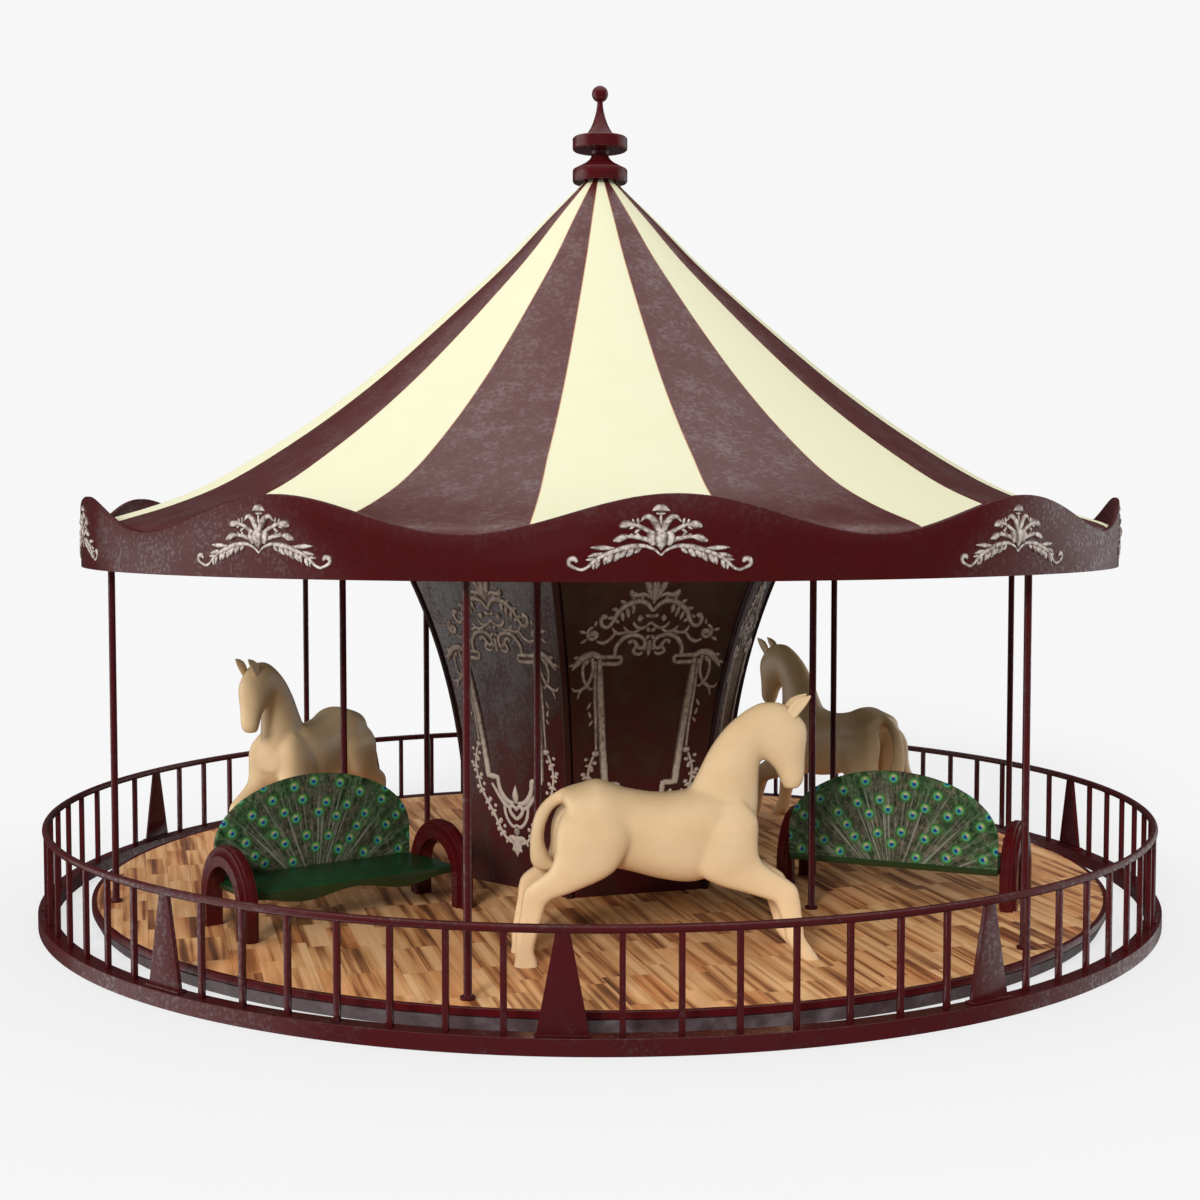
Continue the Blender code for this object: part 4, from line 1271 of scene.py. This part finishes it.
def bench_arch(inner_face):
    """An arm frame with its stepped bands, every edge eased."""
    middle = inner_face + ARCH_T / 2
    half, proud = ARCH_T / 2 - ARCH_STEP, ARCH_T / 2
    ridge, groove = half * 0.45, ARCH_GROOVE
    shoulder_r, groove_r = ARCH_OUTER_R - groove * 2, ARCH_BAND_R + groove
    rim = [(ARCH_OUTER_R, ridge), (shoulder_r, ridge), (shoulder_r, half)]
    bands = [(groove_r, half), (groove_r, half - groove), (ARCH_BAND_R, half - groove)]
    bands += [(ARCH_BAND_R, proud), (ARCH_OPENING_R, proud)]
    section = softened([*mirrored(rim), *rim, *bands, *mirrored(bands)], ARCH_EASE)
    paths = [arch_path(radius) for radius, _ in section]
    base = DECK_TOP + TOUCH
    rings = []
    for stop in zip(*paths):
        placed = zip(stop, section)
        rings.append([Vector((x, -middle - out, base + height)) for (x, height), (_, out) in placed])
    return smooth(loft(rings), 30.0)


def between_arches():
    """The middle of the room between a bench's arches, from the axis, and its length."""
    inner = BENCH_INNER_R + ARCH_T + TOUCH
    outer = BENCH_OUTER_R - ARCH_T - TOUCH
    return (inner + outer) / 2, outer - inner


def bench_seat():
    """A rounded slab with a wavy apron below its front edge."""
    middle, length = between_arches()
    top = DECK_TOP + TOUCH + SEAT_TOP
    depth = SEAT_FRONT_X - SEAT_BACK_X
    slab = box((depth, length, SEAT_T), ((SEAT_FRONT_X + SEAT_BACK_X) / 2, -middle, top - SEAT_T / 2))
    slab = plain(bevelled(slab, 2 * EASE, 3))
    tongue_t = SEAT_T - TONGUE_THINNER
    tongue_size = (2 * SEAT_TONGUE_HALF, length + 2 * SEAT_TONGUE_REACH, tongue_t)
    tongue = box(tongue_size, (ARCH_CENTRE_X, -middle, top - TONGUE_LOWER - tongue_t / 2))
    tongue = plain(bevelled(tongue, EASE))
    width = length - 2 * APRON_GAP
    edge = []
    for i in range(APRON_STEPS + 1):
        share = i / APRON_STEPS
        drop = (APRON_DEEP + SEAT_T) / 2 - (APRON_DEEP - SEAT_T) / 2 * math.cos(2 * math.tau * share)
        edge.append((width * (share - 0.5), -drop - APRON_PROUD))
    apron = plate([(-width / 2, -APRON_SUNK), *edge, (width / 2, -APRON_SUNK)], APRON_T)
    front = SEAT_FRONT_X + APRON_PROUD - APRON_T / 2
    apron = moved(plain(bevelled(apron, EASE)), front, -middle, top, -90.0)
    return smooth(joined([slab, tongue, apron], "seat"), 35.0)


def bench_back():
    """A board with a half-oval top. Its map gives each point's place on the fan."""
    middle, length = between_arches()
    half = length / 2
    foot = DECK_TOP + 2 * TOUCH + SEAT_TOP
    spring = DECK_TOP + BACK_SPRING_H
    outline = [(-half, foot), (half, foot)]
    for i in range(BACK_STEPS + 1):
        angle = math.pi * i / BACK_STEPS
        outline.append((half * math.cos(angle), spring + BACK_RISE * math.sin(angle)))
    back = plain(bevelled(plate(outline, BACK_T), EASE))
    sheet = back.data.uv_layers.new(name="fan")
    for face in back.data.polygons:
        for loop in face.loop_indices:
            x, _, z = back.data.vertices[back.data.loops[loop].vertex_index].co
            sheet.data[loop].uv = (x, z - foot)
    return smooth(moved(back, SEAT_BACK_X + BACK_T / 2, -middle, 0.0, -90.0), 35.0)


def benches():
    inner, outer = bench_arch(BENCH_INNER_R), bench_arch(BENCH_OUTER_R - ARCH_T)
    for piece, kind, material, slot_name in (
        (inner, "bench_inner_arch", RED_PAINT, "maroon_paint"),
        (outer, "bench_outer_arch", RED_PAINT, "maroon_paint"),
        (bench_seat(), "bench_seat", SEAT_PAINT, "seat_green_paint"),
        (bench_back(), "bench_back", FEATHERS, "back_feather_green"),
    ):
        name = kind + ("es" if kind.endswith("arch") else "s")
        deliver_ring(piece, RIDES, FIRST_BENCH_AZ, name, material, slot_name, *numbered(kind, RIDES))


# Horses. A station is two points (x, height) of the side view, how far out it lies and half its width,
# all in millimetres


def body_loft(stations, sides=28, blunt=1.0):
    """A smooth skin through oval stations, boxier where blunt is under 1."""
    stations = [[value / 1000 for value in station] for station in stations]
    rings = []
    for ax, az, bx, bz, lateral, width in curve_through(stations, 5):
        start, end = Vector((ax, lateral, az)), Vector((bx, lateral, bz))
        centre, reach = (start + end) / 2, (start - end) / 2
        turns = [math.tau * (i + 0.5) / sides for i in range(sides)]
        ring = []
        for t in turns:
            lengthwise = math.copysign(abs(math.cos(t)) ** blunt, math.cos(t))
            sideways = math.copysign(abs(math.sin(t)) ** blunt, math.sin(t))
            ring.append(centre + reach * lengthwise + Vector((0.0, width * sideways, 0.0)))
        rings.append(ring)
    return loft(rings)


def ear(side):
    """A leaf-shaped ear, hollow on its outer face."""
    # Each station: the place (x, height) of its middle, and half its length and width
    stations = (
        (770, 1270, 30, 12), (786, 1296, 34, 16), (812, 1326, 34, 17), (842, 1350, 24, 12), (874, 1372, 4, 2),
    )
    points = 16
    rings = []
    for station in stations:
        x, z, length, width = (value / 1000 for value in station)
        ring = []
        for i in range(points):
            turn = math.tau * i / points
            hollow = 1.0 - 0.75 * max(0.0, math.sin(turn)) ** 4
            along = length * math.cos(turn)
            out = EAR_OUT + width * math.sin(turn) * hollow
            ring.append(Vector((x + EAR_LEAN[0] * along, side * out, z + EAR_LEAN[1] * along)))
        rings.append(ring)
    return loft(rings)


def horse():
    """A galloping horse, carved as one soft form and set on the floor."""
    trunk = [
        (-452, 850, -370, 730, 0, 100), (-430, 893, -330, 600, 0, 182),
        (-320, 926, -250, 480, 0, 208), (-240, 941, -180, 478, 0, 205),
        (-100, 894, -80, 455, 0, 184), (60, 867, 80, 412, 0, 198),
        (200, 874, 240, 393, 0, 205), (340, 900, 380, 430, 0, 185),
        (480, 850, 500, 490, 0, 150), (590, 730, 590, 590, 0, 80),
    ]
    neck = [
        (225, 860, 590, 620, 0, 140), (285, 975, 604, 800, 0, 116),
        (350, 1100, 607, 940, 0, 98), (442, 1218, 612, 1010, 0, 88),
        (566, 1312, 620, 1035, 0, 81), (656, 1338, 640, 1028, 0, 83),
        (758, 1320, 655, 1017, 0, 86), (840, 1245, 672, 1000, 0, 84),
        (866, 1179, 690, 982, 0, 78), (857, 1055, 707, 955, 0, 66),
        (852, 930, 733, 895, 0, 56), (822, 876, 746, 872, 0, 38),
    ]
    foreleg = [
        (500, 840, 280, 780, 90, 60), (578, 740, 240, 620, 112, 92),
        (580, 600, 262, 470, 120, 90), (596, 520, 350, 400, 124, 75),
        (660, 465, 530, 345, 132, 60), (757, 403, 645, 308, 142, 52),
        (793, 352, 671, 285, 147, 50), (820, 167, 718, 150, 150, 39),
        (828, 111, 727, 100, 150, 43), (862, 60, 755, 50, 150, 46),
        (902, 0, 800, 0, 150, 55), (920, -30, 818, -30, 150, 57),
    ]
    hindleg = [
        (-390, 820, -180, 800, 60, 60), (-445, 780, -110, 750, 112, 86),
        (-478, 710, -88, 660, 134, 104), (-488, 640, -130, 550, 144, 98),
        (-490, 570, -215, 460, 152, 80), (-525, 490, -400, 380, 158, 51),
        (-642, 405, -517, 335, 152, 45), (-665, 290, -550, 255, 148, 38),
        (-697, 100, -595, 90, 146, 40), (-695, 50, -588, 45, 146, 44),
        (-702, 0, -574, 0, 146, 53), (-704, -30, -570, -30, 146, 55),
    ]
    tail = [
        (-430, 905, -420, 820, 0, 28), (-523, 844, -480, 790, 0, 36),
        (-584, 756, -520, 715, 0, 42), (-609, 613, -531, 633, 0, 46),
        (-601, 501, -512, 566, 0, 46), (-545, 460, -487, 515, 0, 38),
        (-480, 470, -465, 510, 0, 25),
    ]
    parts = [body_loft(trunk, blunt=TRUNK_BLUNT), body_loft(neck), body_loft(tail, 16)]
    for side in (-1, 1):
        for limb in (foreleg, hindleg):
            stations = [(*ends, side * out, width) for *ends, out, width in limb]
            parts.append(body_loft(stations, 20, LEG_BLUNT))
    rough = joined(parts, "horse")
    soft = rough.modifiers.new("One form", "REMESH")
    soft.mode = "VOXEL"
    soft.voxel_size = HORSE_VOXEL
    even = rough.modifiers.new("Sanded", "SMOOTH")
    even.factor = HORSE_SANDING
    even.iterations = 5
    body = plain(rough)
    shape = bmesh.new()
    shape.from_mesh(body.data)
    whole = [*shape.verts, *shape.edges, *shape.faces]
    floor = {"plane_co": (0.0, 0.0, TOUCH), "plane_no": (0.0, 0.0, 1.0)}
    cut = bmesh.ops.bisect_plane(shape, geom=whole, clear_inner=True, **floor)
    rims = [edge for edge in cut["geom_cut"] if isinstance(edge, bmesh.types.BMEdge)]
    bmesh.ops.edgeloop_fill(shape, edges=rims)
    bmesh.ops.recalc_face_normals(shape, faces=shape.faces)
    shape.to_mesh(body.data)
    shape.free()
    body = joined([body, ear(-1), ear(1)], "horse")
    return smooth(moved(body, 0.0, -HORSE_RING, DECK_TOP), 60.0)


def horses():
    stands_for = numbered("horse", RIDES)
    deliver_ring(horse(), RIDES, FIRST_HORSE_AZ, "horses", HORSE_PAINT, "horse_cream_paint", *stands_for)


# The whole carousel


def give(name, material):
    """Puts a material on a CAD node that is shown as it is."""
    NODES[name].data.materials.clear()
    NODES[name].data.materials.append(material)


give("core_cap", MAROON)
give("turntable_bearing", PLINTH_PAINT)

base_and_curb()
fence()
floor_boards()
roof()
rounding_board()
poles()
finial()
crests()
core_ribs()
core_panels()
panel_ornaments()
benches()
horses()


# Studio


def sky(world):
    """An even backdrop. The light is a weak fill and three soft boxes, at both sides and overhead."""
    world.use_nodes = True
    nodes = Nodes(world.node_tree)
    across, ahead, up = nodes.split(nodes.node("ShaderNodeTexCoord").outputs["Generated"])
    below = nodes.math("MINIMUM", nodes.plus(up, LEFT_BOX_FOOT), 0.0)
    left = nodes.span(nodes.minus(nodes.times(below, -LEFT_BOX_SLANT), across), *LEFT_BOX)
    toward = nodes.scaled(across, RIGHT_BOX_WAY[0], nodes.times(ahead, RIGHT_BOX_WAY[1]))
    right = nodes.span(toward, *RIGHT_BOX)
    top = nodes.span(up, *TOP_BOX)
    boxes = nodes.math("MAXIMUM", nodes.math("MAXIMUM", left, right), top)
    path = nodes.node("ShaderNodeLightPath").outputs
    seen, glossy = path["Is Camera Ray"], path["Is Glossy Ray"]
    fill = nodes.scaled(nodes.minus(1.0, glossy), FILL, DIM)
    light = nodes.times(nodes.plus(boxes, fill), nodes.minus(1.0, seen))
    glow = world.node_tree.nodes["Background"]
    glow.inputs["Color"].default_value = (BACKDROP, BACKDROP, BACKDROP, 1.0)
    nodes.feed(glow.inputs["Strength"], nodes.plus(light, seen))


def stage_floor():
    """A pale sheet that glows a little itself, so that shadows on it stay faint."""
    shape = bmesh.new()
    bmesh.ops.create_circle(shape, cap_ends=True, segments=STAGE_STEPS, radius=FLOOR_R)
    floor = from_bmesh(shape, "floor")
    floor.location.z = FLOOR_Z
    floor.visible_glossy = False
    shader = Shader("floor_paint", 0.9)
    shader.shine(0.0)
    shader.surface.inputs["Emission Color"].default_value = (BACKDROP, BACKDROP, BACKDROP, 1.0)
    shader.surface.inputs["Emission Strength"].default_value = FLOOR_GLOW
    floor.data.materials.append(shader.finish((FLOOR_WHITE, FLOOR_WHITE, FLOOR_WHITE, 1.0)))


def studio():
    """The backdrop, a soft key light from the front, and the photograph's camera."""
    scene = bpy.context.scene
    scene.view_settings.view_transform = "Standard"
    scene.world = bpy.data.worlds.new("studio")
    sky(scene.world)
    stage_floor()
    key = bpy.data.lights.new("key", "SUN")
    key.energy = KEY_ENERGY
    key.angle = math.radians(KEY_SOFT)
    lamp = helper("key", key)
    lamp.rotation_euler = (math.radians(90.0 - KEY_RISE), 0.0, math.radians(KEY_AZ))
    lamp.visible_glossy = False
    lens = bpy.data.cameras.new("camera")
    lens.lens = LENS_MM
    lens.sensor_width = SENSOR_MM
    lens.clip_end = CLIP_END
    scene.camera = helper("camera", lens)
    scene.camera.location = CAMERA_PLACE
    scene.camera.rotation_euler = (math.pi / 2 - CAMERA_DOWN, 0.0, 0.0)


studio()
